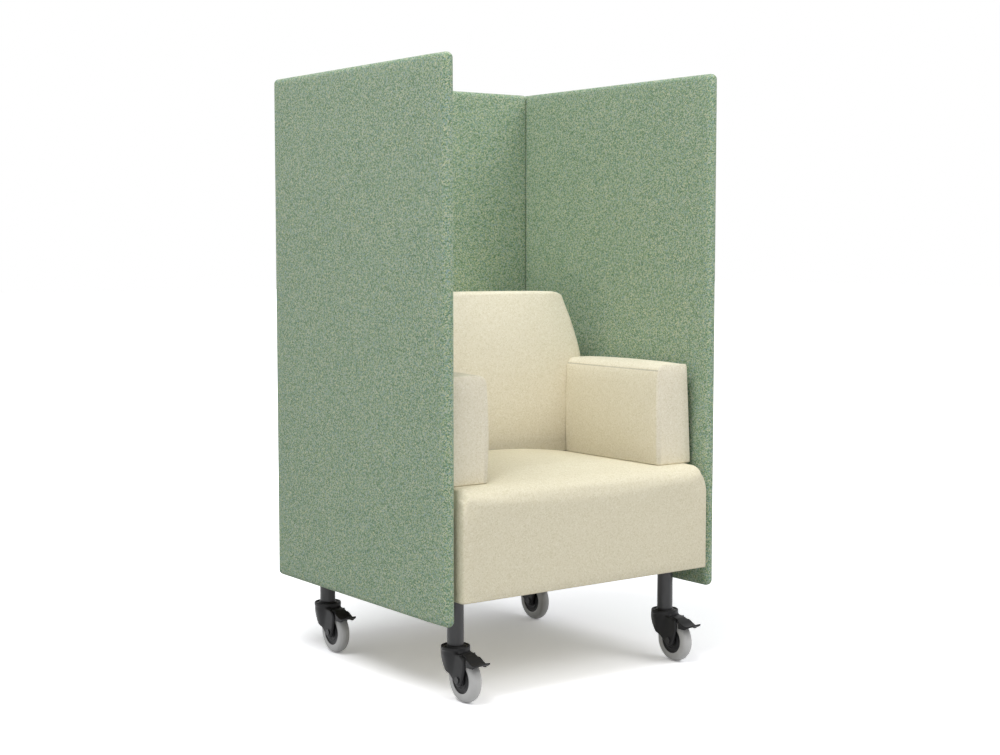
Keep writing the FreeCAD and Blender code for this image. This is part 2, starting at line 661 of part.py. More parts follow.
def fasteners():
    """Screen bolts, their spacers, and the corner screws, each kind as one group."""
    bolts, spacers = [], []
    for key in BOLTS:
        start, end = bolt_ends(key)
        axis = BOLTS[key][0]
        gap_start = "seat_half" if axis == "x" else "seat_rear"
        gap_end = "screen_in" if axis == "x" else "back_screen_front"
        for side in (-1, 1):
            tag = f"{key}_{'left' if side < 0 else 'right'}"
            shank = bolt_line(key, side, "bolt_diameter / 2", start, end, f"shank_{tag}")
            head = bolt_line(key, side, "bolt_head / 2", f"{start} - bolt_head_height", start,
                             f"head_{tag}")
            bolts.append(group(f"bolt_{tag}", [shank, head]))
            ring = bolt_line(key, side, "spacer_diameter / 2", gap_start, gap_end, f"ring_{tag}")
            eye = bolt_line(key, side, "bolt_diameter / 2 + running_gap", gap_start, gap_end,
                            f"eye_{tag}")
            spacers.append(cut(f"spacer_{tag}", ring, [eye]))
    finish("screen_bolts", compound("screen_bolt_set", bolts))
    finish("screen_spacers", compound("screen_spacer_set", spacers))
    screws = [corner_line(side, height, "screw_diameter / 2", f"corner_screw_{side}_{height}")
              for side in (-1, 1) for height in CORNER_HEIGHTS]
    finish("corner_screws", compound("corner_screw_set", screws))


def seat():
    """Seat block over a base board, four rails and a deck."""
    cores = [core_blank(side, f"seat_slot_{side}".replace("-", "m")) for side in (-1, 1)]
    hollow = block("seat_hollow", ("-frame_half", "frame_front", "seat_bottom - overcut"),
                   ("frame_half", "frame_rear", "deck_top"))
    box = back_blank("seat_back_slot")
    rebate = block("seat_rebate", ("-seat_half - overcut", "arm_rear", "seat_top"),
                   ("seat_half + overcut", "seat_rear + overcut", "seat_top + seat_crown + overcut"))
    holes = bolt_holes("seat_pad_hole")
    form = soft("seat_form", seat_shape())
    finish("seat_pad", cut("seat_cover", form, [hollow, box, rebate] + cores + holes))
    base = block("base_blank", ("-frame_half", "frame_front", "base_bottom"),
                 ("frame_half", "frame_rear", "base_top"))
    finish("base_board", cut("base_panel", base, plate_screw_lines("base_hole", SCREW_HOLE)))
    inner = "frame_half - rail_thick"
    rails = {
        "rail_front": (("-frame_half", "frame_front", "base_top"),
                       ("frame_half", "frame_front + rail_thick", "rail_top")),
        "rail_rear": (("-frame_half", "frame_rear - rail_thick", "base_top"),
                      ("frame_half", "frame_rear", "rail_top")),
        "rail_left": (("-frame_half", "frame_front + rail_thick", "base_top"),
                      (f"-({inner})", "frame_rear - rail_thick", "rail_top")),
        "rail_right": ((inner, "frame_front + rail_thick", "base_top"),
                       ("frame_half", "frame_rear - rail_thick", "rail_top")),
    }
    for name, (low, high) in rails.items():
        blank = block(name + "_blank", low, high)
        finish(name, cut(name + "_bored", blank, bolt_holes(name + "_hole")))
    deck = block("deck_blank", ("-frame_half", "frame_front", "rail_top"),
                 ("frame_half", "frame_rear", "deck_top"))
    finish("seat_deck", cut("deck_panel", deck, arm_screw_lines("deck_hole", SCREW_HOLE)))


def core_blank(side, name):
    """Arm core: an upright board from the deck into the arm."""
    start = "core_in" if side > 0 else "-core_in - core_thick"
    return block(name, (start, "arm_front + core_cover", "deck_top"),
                 (f"{start} + core_thick", "arm_rear - pad_wall", "arm_top - core_cover"))


SCREW_HOLE = "screw_diameter / 2 + running_gap"
ARM_SCREWS = (0.15, 0.5, 0.85)


def arm_screw_lines(name, radius):
    """Upright screws from under the deck into the arm cores."""
    lines = []
    for side in (-1, 1):
        for share in ARM_SCREWS:
            x = f"{side} * (core_in + core_thick / 2)"
            y = f"arm_front + core_cover + (arm_length - core_cover - pad_wall) * {share}"
            label = f"{name}_{'left' if side < 0 else 'right'}_{int(100 * share)}"
            lines.append(rod(label, (x, y, "rail_top"), radius, "arm_screw_length"))
    return lines


def arms():
    """Two padded arms on their cores, with the screws that hold the cores."""
    for side, word in ((-1, "left"), (1, "right")):
        form = soft(f"arm_{word}_form", arm_shape(side))
        finish(f"arm_{word}_pad", cut(f"arm_{word}_cover", form, [core_blank(side, f"arm_{word}_slot")]))
        core = core_blank(side, f"arm_{word}_blank")
        holes = arm_screw_lines(f"arm_{word}_hole", SCREW_HOLE)
        finish(f"arm_{word}_core", cut(f"arm_{word}_board", core, holes))
    finish("arm_screws", headed("arm_screw_set", arm_screw_lines("arm_screw", "screw_diameter / 2")))


def headed(name, shanks):
    """Upright screws as one group: each shank with a head under its start."""
    screws = []
    for shank in shanks:
        head = doc.addObject("Part::Cylinder", shank.Name + "_head")
        bind(head, Radius="screw_head / 2", Height="screw_head_height")
        places = dict(shank.ExpressionEngine)
        for axis in "xyz":
            below = " - " + bound("screw_head_height") if axis == "z" else ""
            head.setExpression(f"Placement.Base.{axis}", places[f".Placement.Base.{axis}"] + below)
        screws.append(group(shank.Name + "_whole", [shank, head]))
    return compound(name, screws)


def back_blank(name):
    """Outer form of the backrest's plywood box."""
    return block(name, ("-back_frame_half", "box_front", "deck_top"),
                 ("back_frame_half", "box_rear", "back_frame_top"))


def backrest():
    """Backrest padding around an open plywood box that stands on the deck."""
    form = soft("backrest_form", back_shape())
    holes = bolt_holes("backrest_hole")
    finish("backrest_pad", cut("backrest_cover", form, [back_blank("backrest_hollow")] + holes))
    wall = "back_frame_thick"
    room = block("back_frame_room",
                 (f"-back_frame_half + {wall}", f"box_front + {wall}", "deck_top - overcut"),
                 (f"back_frame_half - {wall}", f"box_rear - {wall}", "back_frame_top + overcut"))
    box = cut("back_frame_box", back_blank("back_frame_blank"), [room] + bolt_holes("back_frame_hole"))
    finish("back_frame", box)


CASTORS = {
    "front_left": ("-post_half", "post_front"),
    "front_right": ("post_half", "post_front"),
    "rear_left": ("-post_half", "post_rear"),
    "rear_right": ("post_half", "post_rear"),
}


def plate_screw_lines(name, radius):
    """Screws through the legs' plates into the base board, four to a plate."""
    lines = []
    inner = "(plate_size - plate_margin - plate_screw_inset)"
    outer = "(plate_margin - plate_screw_inset)"
    for key, (x, y) in CASTORS.items():
        sign_x = -1 if "left" in key else 1
        sign_y = -1 if "front" in key else 1
        places = [(f"-{inner}", outer), (outer, f"-{inner}"), (f"-{inner}", f"-{inner}"),
                  ("-plate_size / 2 + plate_margin", "-plate_size / 2 + plate_margin")]
        for number, (run_x, run_y) in enumerate(places):
            lines.append(rod(f"{name}_{key}_{number}",
                             (f"{x} + {sign_x} * ({run_x})", f"{y} + {sign_y} * ({run_y})",
                              "base_bottom - plate_thick"), radius,
                             "plate_thick + base_thick - screw_tip_gap"))
    return lines


def legs():
    """Four leg tubes, each welded to its plate above and its bush below, and the plates' screws."""
    for key, (x, y) in CASTORS.items():
        tube = rod(f"tube_{key}", (x, y, "castor_height"), "post_diameter / 2",
                   "base_bottom - plate_thick - castor_height")
        bore = rod(f"tube_bore_{key}", (x, y, "castor_height + socket_height"),
                   "post_diameter / 2 - post_wall",
                   "base_bottom - plate_thick - castor_height - socket_height")
        eye = rod(f"tube_eye_{key}", (x, y, "castor_height - overcut"),
                  "stem_diameter / 2 + running_gap", "socket_height + 2 * overcut")
        outward_x = -1 if "left" in key else 1
        outward_y = -1 if "front" in key else 1
        reach = "(plate_size - plate_margin)"
        low_x = f"{x} - plate_margin" if outward_x < 0 else f"{x} - {reach}"
        low_y = f"{y} - plate_margin" if outward_y < 0 else f"{y} - {reach}"
        flange = block(f"plate_{key}", (low_x, low_y, "base_bottom - plate_thick"),
                       (f"{low_x} + plate_size", f"{low_y} + plate_size", "base_bottom"))
        welded = group(f"leg_{key}_welded", [tube, flange])
        holes = plate_screw_lines(f"plate_hole_{key}", SCREW_HOLE)
        finish(f"leg_{key}", cut(f"leg_{key}_bored", welded, [bore, eye] + holes))
    shanks = plate_screw_lines("plate_screw", "screw_diameter / 2")
    finish("plate_screws", headed("plate_screw_set", shanks))


def castor(key, x, y):
    """One castor: head and fork, bearing, stem, wheel on its axle, and brake pedal."""
    axle_y = f"{y} - trail"
    stem(key, x, y)
    fork(key, x, y, axle_y)
    wheel(key, x, axle_y)
    pedal(key, x, axle_y)


def stem(key, x, y):
    """Swivel stem with its flange, and the bearing that the head turns on."""
    flange_top = "bearing_top - bearing_height - stem_play"
    pin = rod(f"pin_{key}", (x, y, flange_top), "stem_diameter / 2", f"stem_top - ({flange_top})")
    flange = rod(f"flange_{key}", (x, y, f"{flange_top} - stem_flange"), "stem_head / 2",
                 "stem_flange")
    finish(f"castor_{key}_stem", group(f"stem_{key}", [pin, flange]))
    race = rod(f"race_{key}", (x, y, "bearing_top - bearing_height"), "bearing_diameter / 2",
               "bearing_height")
    eye = rod(f"race_eye_{key}", (x, y, "bearing_top - bearing_height"),
              "stem_diameter / 2 + running_gap", "bearing_height")
    finish(f"castor_{key}_bearing", cut(f"bearing_{key}", race, [eye]))


def fork(key, x, y, axle_y):
    """Castor head with two cheeks that reach down to the axle."""
    neck = "head_top - fork_neck_drop - wheel_top"
    outline = [
        ("-fork_brow_run", neck), ("-fork_rear_run", "-fork_rear_high"),
        ("-fork_rear_run", "-fork_rear_low"),
        ("-fork_boss * 0.85", "-axle_height - fork_boss * 0.53"),
        ("fork_boss * 0.7", "-axle_height - fork_boss * 0.714"),
        ("trail + fork_front_run", "-skirt_drop"), ("trail + fork_front_run", neck),
    ]
    swells = [(0, "-fork_brow_swell"), (3, "fork_boss_swell"), (4, "fork_throat_swell")]
    cheeks = plate(f"cheeks_{key}", "YZ_Plane", outline, "fork_width", swells,
                   (x, axle_y, "wheel_top"))
    head = rod(f"head_{key}", (x, y, "head_top - head_rim"), "head_diameter / 2", "head_rim")
    skirt = rod(f"skirt_{key}", (x, y, "skirt_bottom"), "skirt_diameter / 2",
                "head_top - head_rim - skirt_bottom")
    solid = group(f"fork_solid_{key}", [cheeks, head, skirt])
    half_slot = "fork_slot / 2"
    room = rod(f"wheel_room_{key}", (f"{x} - {half_slot}", axle_y, "axle_height"),
               "wheel_diameter / 2 + wheel_room", "fork_slot", "x")
    pedal_room = block(f"pedal_room_{key}",
                       (f"{x} - {half_slot}", f"{axle_y} - fork_rear_run - overcut",
                        "wheel_top - pedal_room_drop"),
                       (f"{x} + {half_slot}", f"{y} - head_diameter / 2 - pedal_gap",
                        "head_top + overcut"))
    seat_bore = rod(f"bearing_bore_{key}", (x, y, "bore_low"),
                    "bearing_diameter / 2 + running_gap", "bearing_top - bore_low")
    roof_eye = rod(f"roof_eye_{key}", (x, y, "bore_low"), "stem_diameter / 2 + roof_play",
                   "head_top + overcut - bore_low")
    axle_bore = rod(f"axle_bore_{key}", (f"{x} - fork_width", axle_y, "axle_height"),
                    "axle_diameter / 2 + running_gap", "2 * fork_width", "x")
    pin_bore = rod(f"pin_bore_{key}", (f"{x} - fork_width", f"{axle_y} - pedal_pivot_run", "pivot_height"),
                   "pedal_pin / 2 + running_gap", "2 * fork_width", "x")
    finish(f"castor_{key}_fork", cut(f"fork_{key}", solid,
                                     [room, pedal_room, seat_bore, roof_eye, axle_bore, pin_bore]))


def wheel(key, x, axle_y):
    """Axle with its caps, dished hub, and tyre with a curved tread."""
    place = (x, axle_y, "axle_height")
    shaft, cap = "axle_diameter / 2", "axle_cap / 2"
    cheek, end = "fork_width / 2 + running_gap", "fork_width / 2 + cap_height"
    finish(f"castor_{key}_axle", turned(f"axle_{key}", [
        (f"-({end})", "0"), (end, "0"), (end, cap), (cheek, cap), (cheek, shaft),
        (f"-({cheek})", shaft), (f"-({cheek})", cap), (f"-({end})", cap)], place=place))
    bore = f"{shaft} + running_gap"
    boss, rim = "fork_slot / 2 - boss_gap", "hub_width / 2"
    dish = "hub_width / 2 - hub_dish"
    half = [(boss, bore), (boss, "boss_end / 2"), (dish, "boss_outer / 2"), (dish, "dish_inner / 2"),
            (rim, "dish_outer / 2"), (rim, "hub_diameter / 2")]
    mirror = [(f"-({across})", up) for across, up in reversed(half)]
    finish(f"castor_{key}_hub", turned(f"hub_{key}", mirror + half, place=place))
    inner = "hub_diameter / 2 + running_gap"
    shoulder = "wheel_diameter / 2 - tread_drop"
    side = "tyre_width / 2"
    finish(f"castor_{key}_tyre", turned(f"tyre_{key}", [
        (f"-{side}", inner), (side, inner), (side, shoulder), (f"-{side}", shoulder)],
        arcs=[(2, "tread_drop")], place=place))


def pedal(key, x, axle_y):
    """Brake pedal: a tread plate with a turned up tip, side walls, pivot stubs and a shoe."""
    place = (x, axle_y, "wheel_top")
    slant = "pedal_plate * 1.15"
    front = [
        ("-pedal_reach", "-pedal_tip_drop"),
        ("-pedal_reach + pedal_lip_run", "-pedal_lip_drop"),
        ("-pedal_reach + pedal_trough_run", "-pedal_trough_drop"),
        ("-pedal_bend_run", "pedal_bend_rise"),
    ]
    chin = ("-pedal_reach + pedal_chin_run", "-pedal_chin_drop")
    top = front + [("-pedal_knee_run", "pedal_knee_rise"), ("pedal_heel_run", "pedal_heel_rise")]
    shoe = [
        ("0", "shoe_rise"), ("-shoe_length", "shoe_rise"), ("-shoe_step_run", "0"),
        ("-shoe_toe_run", "-shoe_toe_drop"), ("-shoe_throat_run", "shoe_throat_rise - pedal_plate"),
    ]
    under = [
        ("-pedal_bend_run", f"pedal_bend_rise - {slant}"),
        ("-pedal_reach + pedal_trough_run", f"-pedal_trough_drop - {slant}"),
        chin,
    ]
    tread = plate(f"tread_{key}", "YZ_Plane", top + shoe + under, "fork_slot - 2 * pedal_gap",
                  place=place)
    wall = front + [
        ("-pedal_wall_run", "pedal_wall_rise"), ("-pedal_wall_run", "-pedal_wall_drop"),
        ("-pedal_wall_toe", "-pedal_wall_drop"), chin,
    ]
    walls = plate(f"walls_{key}", "YZ_Plane", wall, "pedal_width", place=place)
    between = block(f"between_{key}",
                    (f"{x} - pedal_width / 2 + pedal_skirt", f"{axle_y} - pedal_reach - overcut",
                     "wheel_top - pedal_wall_drop - overcut"),
                    (f"{x} + pedal_width / 2 - pedal_skirt", f"{axle_y} - pedal_wall_run + overcut",
                     "wheel_top + pedal_wall_rise + overcut"))
    hollow = cut(f"walls_hollow_{key}", walls, [between])
    stubs = rod(f"stubs_{key}", (f"{x} - fork_width / 2", f"{axle_y} - pedal_pivot_run", "pivot_height"),
                "pedal_pin / 2", "fork_width", "x")
    finish(f"castor_{key}_pedal", group(f"pedal_{key}", [tread, hollow, stubs]))


screens()
fasteners()
seat()
arms()
backrest()
legs()
for castor_key, (swivel_x, swivel_y) in CASTORS.items():
    castor(castor_key, swivel_x, swivel_y)
doc.recompute()

failed = [item.Name for item in doc.Objects if "Invalid" in item.State or "Error" in item.State]
if failed:
    raise RuntimeError(f"features that failed: {failed}")
for name, obj in finished.items():
    if obj.Shape.isNull() or not obj.Shape.isValid() or not obj.Shape.Solids:
        raise RuntimeError(f"{name} has no valid solid")

os.makedirs("parts", exist_ok=True)
for name, obj in finished.items():
    obj.Shape.exportStep(os.path.join("parts", name + ".step"))
    box = obj.Shape.optimalBoundingBox(False)
    spans = ", ".join(f"{low:.1f}..{high:.1f}" for low, high in (
        (box.XMin, box.XMax), (box.YMin, box.YMax), (box.ZMin, box.ZMax)))
    print(f"{name}: {len(obj.Shape.Solids)} solid(s), {obj.Shape.Volume / 1000:.1f} cm3, x y z {spans}")
print(len(finished), "pieces")
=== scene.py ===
"""Looks of an acoustic high back lounge chair on four braked castors.

A block-shaped cream armchair stands on four leg tubes and is enclosed on three sides by tall padded
screens in a flecked green fabric. Every length is in metres, unless it says millimetres.
"""
from __future__ import annotations

import json
import logging
import math
from dataclasses import dataclass
from enum import Enum, auto
from typing import Callable, Sequence

import bmesh
import bpy
import numpy as np
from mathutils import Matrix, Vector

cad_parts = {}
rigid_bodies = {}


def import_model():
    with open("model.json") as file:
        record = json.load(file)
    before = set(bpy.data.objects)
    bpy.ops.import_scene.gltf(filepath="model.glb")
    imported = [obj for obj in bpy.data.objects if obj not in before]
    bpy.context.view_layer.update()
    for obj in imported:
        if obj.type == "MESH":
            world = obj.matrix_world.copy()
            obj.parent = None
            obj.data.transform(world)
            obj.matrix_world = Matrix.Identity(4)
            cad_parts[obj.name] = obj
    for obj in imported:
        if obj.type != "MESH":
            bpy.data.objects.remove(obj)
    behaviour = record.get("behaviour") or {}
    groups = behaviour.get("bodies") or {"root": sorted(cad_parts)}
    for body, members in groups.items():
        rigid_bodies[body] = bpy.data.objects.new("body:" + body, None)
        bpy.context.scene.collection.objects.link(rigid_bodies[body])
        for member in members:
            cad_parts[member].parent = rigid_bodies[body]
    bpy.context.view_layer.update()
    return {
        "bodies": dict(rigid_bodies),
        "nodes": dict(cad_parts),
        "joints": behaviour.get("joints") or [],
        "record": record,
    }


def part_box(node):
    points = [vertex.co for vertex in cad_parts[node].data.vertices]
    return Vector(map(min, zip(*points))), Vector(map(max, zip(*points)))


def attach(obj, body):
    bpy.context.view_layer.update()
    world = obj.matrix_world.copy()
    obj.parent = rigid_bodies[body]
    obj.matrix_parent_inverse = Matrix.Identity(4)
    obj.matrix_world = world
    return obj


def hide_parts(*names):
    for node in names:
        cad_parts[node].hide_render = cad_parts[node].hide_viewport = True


LOG = logging.getLogger("lounge_chair")
AIM_HEIGHT = 0.65  # height that every lamp shines at
OTHERS = ((1, 2), (2, 0), (0, 1))  # the two axes that follow X, Y and Z
MILLIMETRES = 1000  # in a metre

Colour = tuple[float, float, float]
Triple = tuple[float, float, float]
Pair = tuple[float, float]
PerPoint = Callable[[np.ndarray], np.ndarray]
Socket = bpy.types.NodeSocket


class Named(Enum):
    """A choice whose name is also a word in the names of nodes and bodies."""

    @property
    def word(self) -> str:
        """The word."""
        return self.name.lower()


class Side(Named):
    """Left and right as the photograph's viewer stands in front: left is towards -X."""

    LEFT = -1
    RIGHT = 1


class Leg(Named):
    """The four legs."""

    FRONT_LEFT = auto()
    FRONT_RIGHT = auto()
    REAR_LEFT = auto()
    REAR_RIGHT = auto()


def srgb(red: float, green: float, blue: float) -> Colour:
    """Turns a colour as a screen shows it into the linear one that shaders take.

    Args:
        red, green, blue: the three channels, 0 to 255.

    Returns:
        The linear colour.
    """
    parts = np.array([red, green, blue]) / 255.0
    linear = np.where(parts <= 0.04045, parts / 12.92, ((parts + 0.055) / 1.055) ** 2.4)
    return tuple(float(part) for part in linear)


def smooth_step(values: np.ndarray, low: float, high: float) -> np.ndarray:
    """Rises from 0 at low to 1 at high along the cubic 3 s^2 - 2 s^3.

    Args:
        values: where it is worked out.
        low: value at which it starts.
        high: value at which it ends.

    Returns:
        Array of the same shape, from 0 to 1.
    """
    share = np.clip((values - low) / (high - low), 0.0, 1.0)
    return share * share * (3.0 - 2.0 * share)


class Nodes:
    """A node tree, with short calls to add, feed and join nodes."""

    def __init__(self, tree: bpy.types.NodeTree) -> None:
        """Takes over a tree and empties it.

        Args:
            tree: the tree.
        """
        self.tree = tree
        tree.nodes.clear()

    def feed(self, made: bpy.types.Node, *sources: object, **inputs: object) -> None:
        """Links sockets to a node's inputs, and sets the inputs that get plain values.

        Args:
            made: the node.
            sources: sockets or values for its first inputs, in order.
            inputs: sockets or values by the input's name; an underscore stands for a space.
        """
        named = {key.replace("_", " "): source for key, source in inputs.items()}
        for key, source in {**dict(enumerate(sources)), **named}.items():
            if isinstance(source, Socket):
                self.tree.links.new(source, made.inputs[key])
            else:
                made.inputs[key].default_value = source

    def node(self, kind: str, *sources: object, operation: str = "",
             **inputs: object) -> bpy.types.Node:
        """Adds a node and feeds it.

        Args:
            kind: the node's type, without the word ShaderNode in front.
            sources: sockets or values for its first inputs, in order.
            operation: what it works out, where it has the choice.
            inputs: sockets or values by the input's name.

        Returns:
            The new node.
        """
        made = self.tree.nodes.new("ShaderNode" + kind)
        if operation:
            made.operation = operation
        self.feed(made, *sources, **inputs)
        return made

    def math(self, operation: str, *sources: object, clamp: bool = False) -> Socket:
        """Adds a math node.

        Args:
            operation: the node's operation.
            sources: its inputs, as sockets or numbers.
            clamp: whether the result is held between 0 and 1.

        Returns:
            The node's result.
        """
        made = self.node("Math", *sources, operation=operation)
        made.use_clamp = clamp
        return made.outputs[0]

    def place(self) -> Socket:
        """Position on the object, in metres."""
        return self.node("TexCoord").outputs["Object"]

    def normal(self) -> Socket:
        """Direction that the surface faces."""
        return self.node("TexCoord").outputs["Normal"]

    def axes(self, vector: Socket) -> list[Socket]:
        """The three parts of a vector."""
        return list(self.node("SeparateXYZ", vector).outputs)

    def seen(self) -> Socket:
        """Whether a ray shows the surface to the eye: straight on, in gloss or through glass.

        Returns:
            1 where it does, else 0.
        """
        rays = self.node("LightPath").outputs
        shown = self.math("MAXIMUM", rays["Is Camera Ray"], rays["Is Glossy Ray"])
        return self.math("MAXIMUM", shown, rays["Is Transmission Ray"])


class Shading(Nodes):
    """A material under work, with one principled shader."""

    def __init__(self, name: str) -> None:
        """Starts a material with a shader and an output.

        Args:
            name: the material's name.
        """
        self.material = bpy.data.materials.new(name)
        self.material.use_nodes = True
        super().__init__(self.material.node_tree)
        self.shader = self.node("BsdfPrincipled")
        self.output = self.node("OutputMaterial", Surface=self.shader.outputs["BSDF"])

    def noise(self, size: float, detail: float = 2.0, roughness: float = 0.5) -> Socket:
        """Adds a noise pattern in object space.

        Args:
            size: width of its features, in metres.
            detail: number of finer layers.
            roughness: strength of the finer layers.

        Returns:
            The noise, about 0 to 1.
        """
        made = self.node("TexNoise", Vector=self.place(), Scale=1.0 / size, Detail=detail,
                         Roughness=roughness)
        return made.outputs["Fac"]

    def ramp(self, source: Socket, stops: Sequence[tuple[float, Colour]]) -> Socket:
        """Turns a number into a colour.

        Args:
            source: the number, 0 to 1.
            stops: places on the ramp with their colours.

        Returns:
            The colour.
        """
        made = self.node("ValToRGB", Fac=source)
        elements = made.color_ramp.elements
        while len(elements) < len(stops):
            elements.new(0.5)
        for element, (place, colour) in zip(elements, stops):
            element.position = place
            element.color = (*colour, 1.0)
        return made.outputs["Color"]

    def bump(self, height: Socket, depth: float, strength: float) -> None:
        """Raises the surface by a height pattern.

        Args:
            height: the pattern, 0 to 1.
            depth: height of the pattern, in metres.
            strength: share of the effect.
        """
        made = self.node("Bump", Strength=strength, Distance=depth, Height=height)
        self.feed(self.shader, Normal=made.outputs["Normal"])


@dataclass(frozen=True)
class Crease:
    """Painted shade on cloth where padding meets the seat: darkest at its foot, fading upwards.

    It ends within a distance of the chair's middle, over a narrow border.
    """

    foot: float
    fade: float
    depth: float
    within: float = 1.0
    border: float = 0.006

    def dimming(self, shading: Shading) -> Socket:
        """Painted-shade factor 1 - d s e^(-(z - foot) / fade), where s falls from 1 to 0 over the
        border.

        Args:
            shading: material under work.

        Returns:
            The factor, 0 to 1.
        """
        across, _, up = shading.axes(shading.place())
        rise = shading.math("MAXIMUM", shading.math("SUBTRACT", up, self.foot), 0.0)
        share = shading.math("EXPONENT", shading.math("DIVIDE", rise, -self.fade))
        left = shading.math("SUBTRACT", self.within, shading.math("ABSOLUTE", across))
        near = shading.math("DIVIDE", left, self.border, clamp=True)
        return shading.math("MULTIPLY_ADD", shading.math("MULTIPLY", share, near), -self.depth, 1.0)


@dataclass(frozen=True)
class Seam:
    """Sewn line where the size of one coordinate has a set value, on cloth that faces an axis."""

    axis: int
    place: float
    half: float
    depth: float
    facing: int
    sharpness: float = 1.6
    least_facing: float = 0.8
    facing_sharpness: float = 10.0

    def nearness(self, shading: Shading) -> Socket:
        """How near a point is to the seam: sharpness (1 - | |c| - place | / half), 0 to 1.

        It falls to 0 on cloth whose normal has less than a set part along the faced axis.

        Args:
            shading: material under work.

        Returns:
            The nearness.
        """
        size = shading.math("ABSOLUTE", shading.axes(shading.place())[self.axis])
        off = shading.math("ABSOLUTE", shading.math("SUBTRACT", size, self.place))
        share = shading.math("SUBTRACT", 1.0, shading.math("DIVIDE", off, self.half))
        near = shading.math("MULTIPLY", share, self.sharpness, clamp=True)
        part = shading.math("ABSOLUTE", shading.axes(shading.normal())[self.facing])
        turned = shading.math("MULTIPLY", shading.math("SUBTRACT", part, self.least_facing),
                              self.facing_sharpness, clamp=True)
        return shading.math("MULTIPLY", near, turned)


@dataclass(frozen=True)
class WovenCloth:
    """Upholstery cloth in plain weave, flecked by yarns of several colours."""

    name: str
    yarns: tuple[tuple[float, Colour], ...]
    thread: float = 0.0014
    fleck: float = 0.0024
    relief: float = 0.0003
    patches: float = 0.02
    patch_size: float = 0.09
    fuzz_size: float = 0.0007
    fuzz: float = 0.7
    sheen: float = 0.06
    seam_dip: float = 2.5
    seam: Seam | None = None
    # painted shade at the padding's foot
    crease: Crease | None = None

    def weave(self, shading: Shading) -> Socket:
        """Height of a plain weave seen square on each face.

        On a plane with thread counts u and v, the crossing c is sin(pi u) sin(pi v), and the height
        is |sin pi u| (1 + c) / 2 + |sin pi v| (1 - c) / 2: one set of threads rises where the other
        dips. The three planes are mixed by the fourth power of the surface normal.

        Args:
            shading: material under work.

        Returns:
            The height, 0 to 1.
        """
        counts = shading.node("VectorMath", shading.place(), operation="SCALE",
                              Scale=math.pi / self.thread)
        waves = [shading.math("SINE", part) for part in shading.axes(counts.outputs[0])]
        backs = [shading.math("ABSOLUTE", wave) for wave in waves]
        weights = [shading.math("POWER", shading.math("ABSOLUTE", part), 4.0)
                   for part in shading.axes(shading.normal())]
        total = shading.math("ADD", shading.math("ADD", weights[0], weights[1]), weights[2])
        height: object = 0.0
        for weight, (first, second) in zip(weights, OTHERS):
            crossing = shading.math("MULTIPLY", waves[first], waves[second])
            over = shading.math("MULTIPLY_ADD", crossing, 0.5, 0.5)
            dipped = shading.math("MULTIPLY", backs[second], shading.math("SUBTRACT", 1.0, over))
            pattern = shading.math("MULTIPLY_ADD", backs[first], over, dipped)
            share = shading.math("MULTIPLY", pattern, shading.math("DIVIDE", weight, total))
            height = shading.math("ADD", height, share)
        return height

    def build(self) -> bpy.types.Material:
        """Makes the cloth's material.

        Returns:
            The material.
        """
        shading = Shading(self.name)
        cells = shading.node("TexVoronoi", Vector=shading.place(), Scale=1.0 / self.fleck)
        channel = shading.node("SeparateColor", cells.outputs["Color"]).outputs[0]
        yarn = shading.ramp(channel, self.yarns)
        cloud = shading.noise(self.patch_size, detail=3.0)
        tone = shading.math("MULTIPLY_ADD", cloud, self.patches, 1.0 - self.patches * 0.5)
        fuzz = shading.noise(self.fuzz_size, detail=3.0, roughness=0.7)
        height = shading.math("MULTIPLY_ADD", fuzz, self.fuzz, self.weave(shading))
        if self.seam is not None:
            line = self.seam.nearness(shading)
            dimmed = shading.math("MULTIPLY_ADD", line, -self.seam.depth, 1.0)
            tone = shading.math("MULTIPLY", tone, dimmed)
            height = shading.math("MULTIPLY_ADD", line, -self.seam_dip, height)
        # painted shade: darkens the colour at the padding's foot
        if self.crease is not None:
            tone = shading.math("MULTIPLY", tone, self.crease.dimming(shading))
        toned = shading.node("VectorMath", yarn, operation="SCALE", Scale=tone)
        shading.bump(height, self.relief, strength=0.6)
        shading.feed(shading.shader, Base_Color=toned.outputs[0], Roughness=0.92,
                     Sheen_Weight=self.sheen, Sheen_Roughness=0.5, Specular_IOR_Level=0.15)
        return shading.material


@dataclass(frozen=True)
class Moulded:
    """Moulded plastic, powder coat, rubber or bare metal, with a fine surface grain."""

    name: str
    colour: Colour
    roughness: float
    shine: float = 0.5
    metallic: float = 0.0
    variation: float = 0.12
    depth: float = 0.00004
    grain_size: float = 0.0006
    cloud_size: float = 0.02
    wear_size: float = 0.008
    wear: float = 0.12

    def build(self) -> bpy.types.Material:
        """Makes the finish's material.

        Returns:
            The material.
        """
        shading = Shading(self.name)
        light = tuple(min(1.0, part * (1 + self.variation)) for part in self.colour)
        dark = tuple(part * (1 - self.variation) for part in self.colour)
        cloud = shading.noise(self.cloud_size, detail=4.0)
        worn = shading.math("MULTIPLY_ADD", shading.noise(self.wear_size), self.wear,
                            self.roughness - self.wear / 2)
        shading.bump(shading.noise(self.grain_size), self.depth, strength=0.5)
        shading.feed(shading.shader, Base_Color=shading.ramp(cloud, [(0.3, dark), (0.7, light)]),
                     Roughness=worn, Metallic=self.metallic, Specular_IOR_Level=self.shine)
        return shading.material


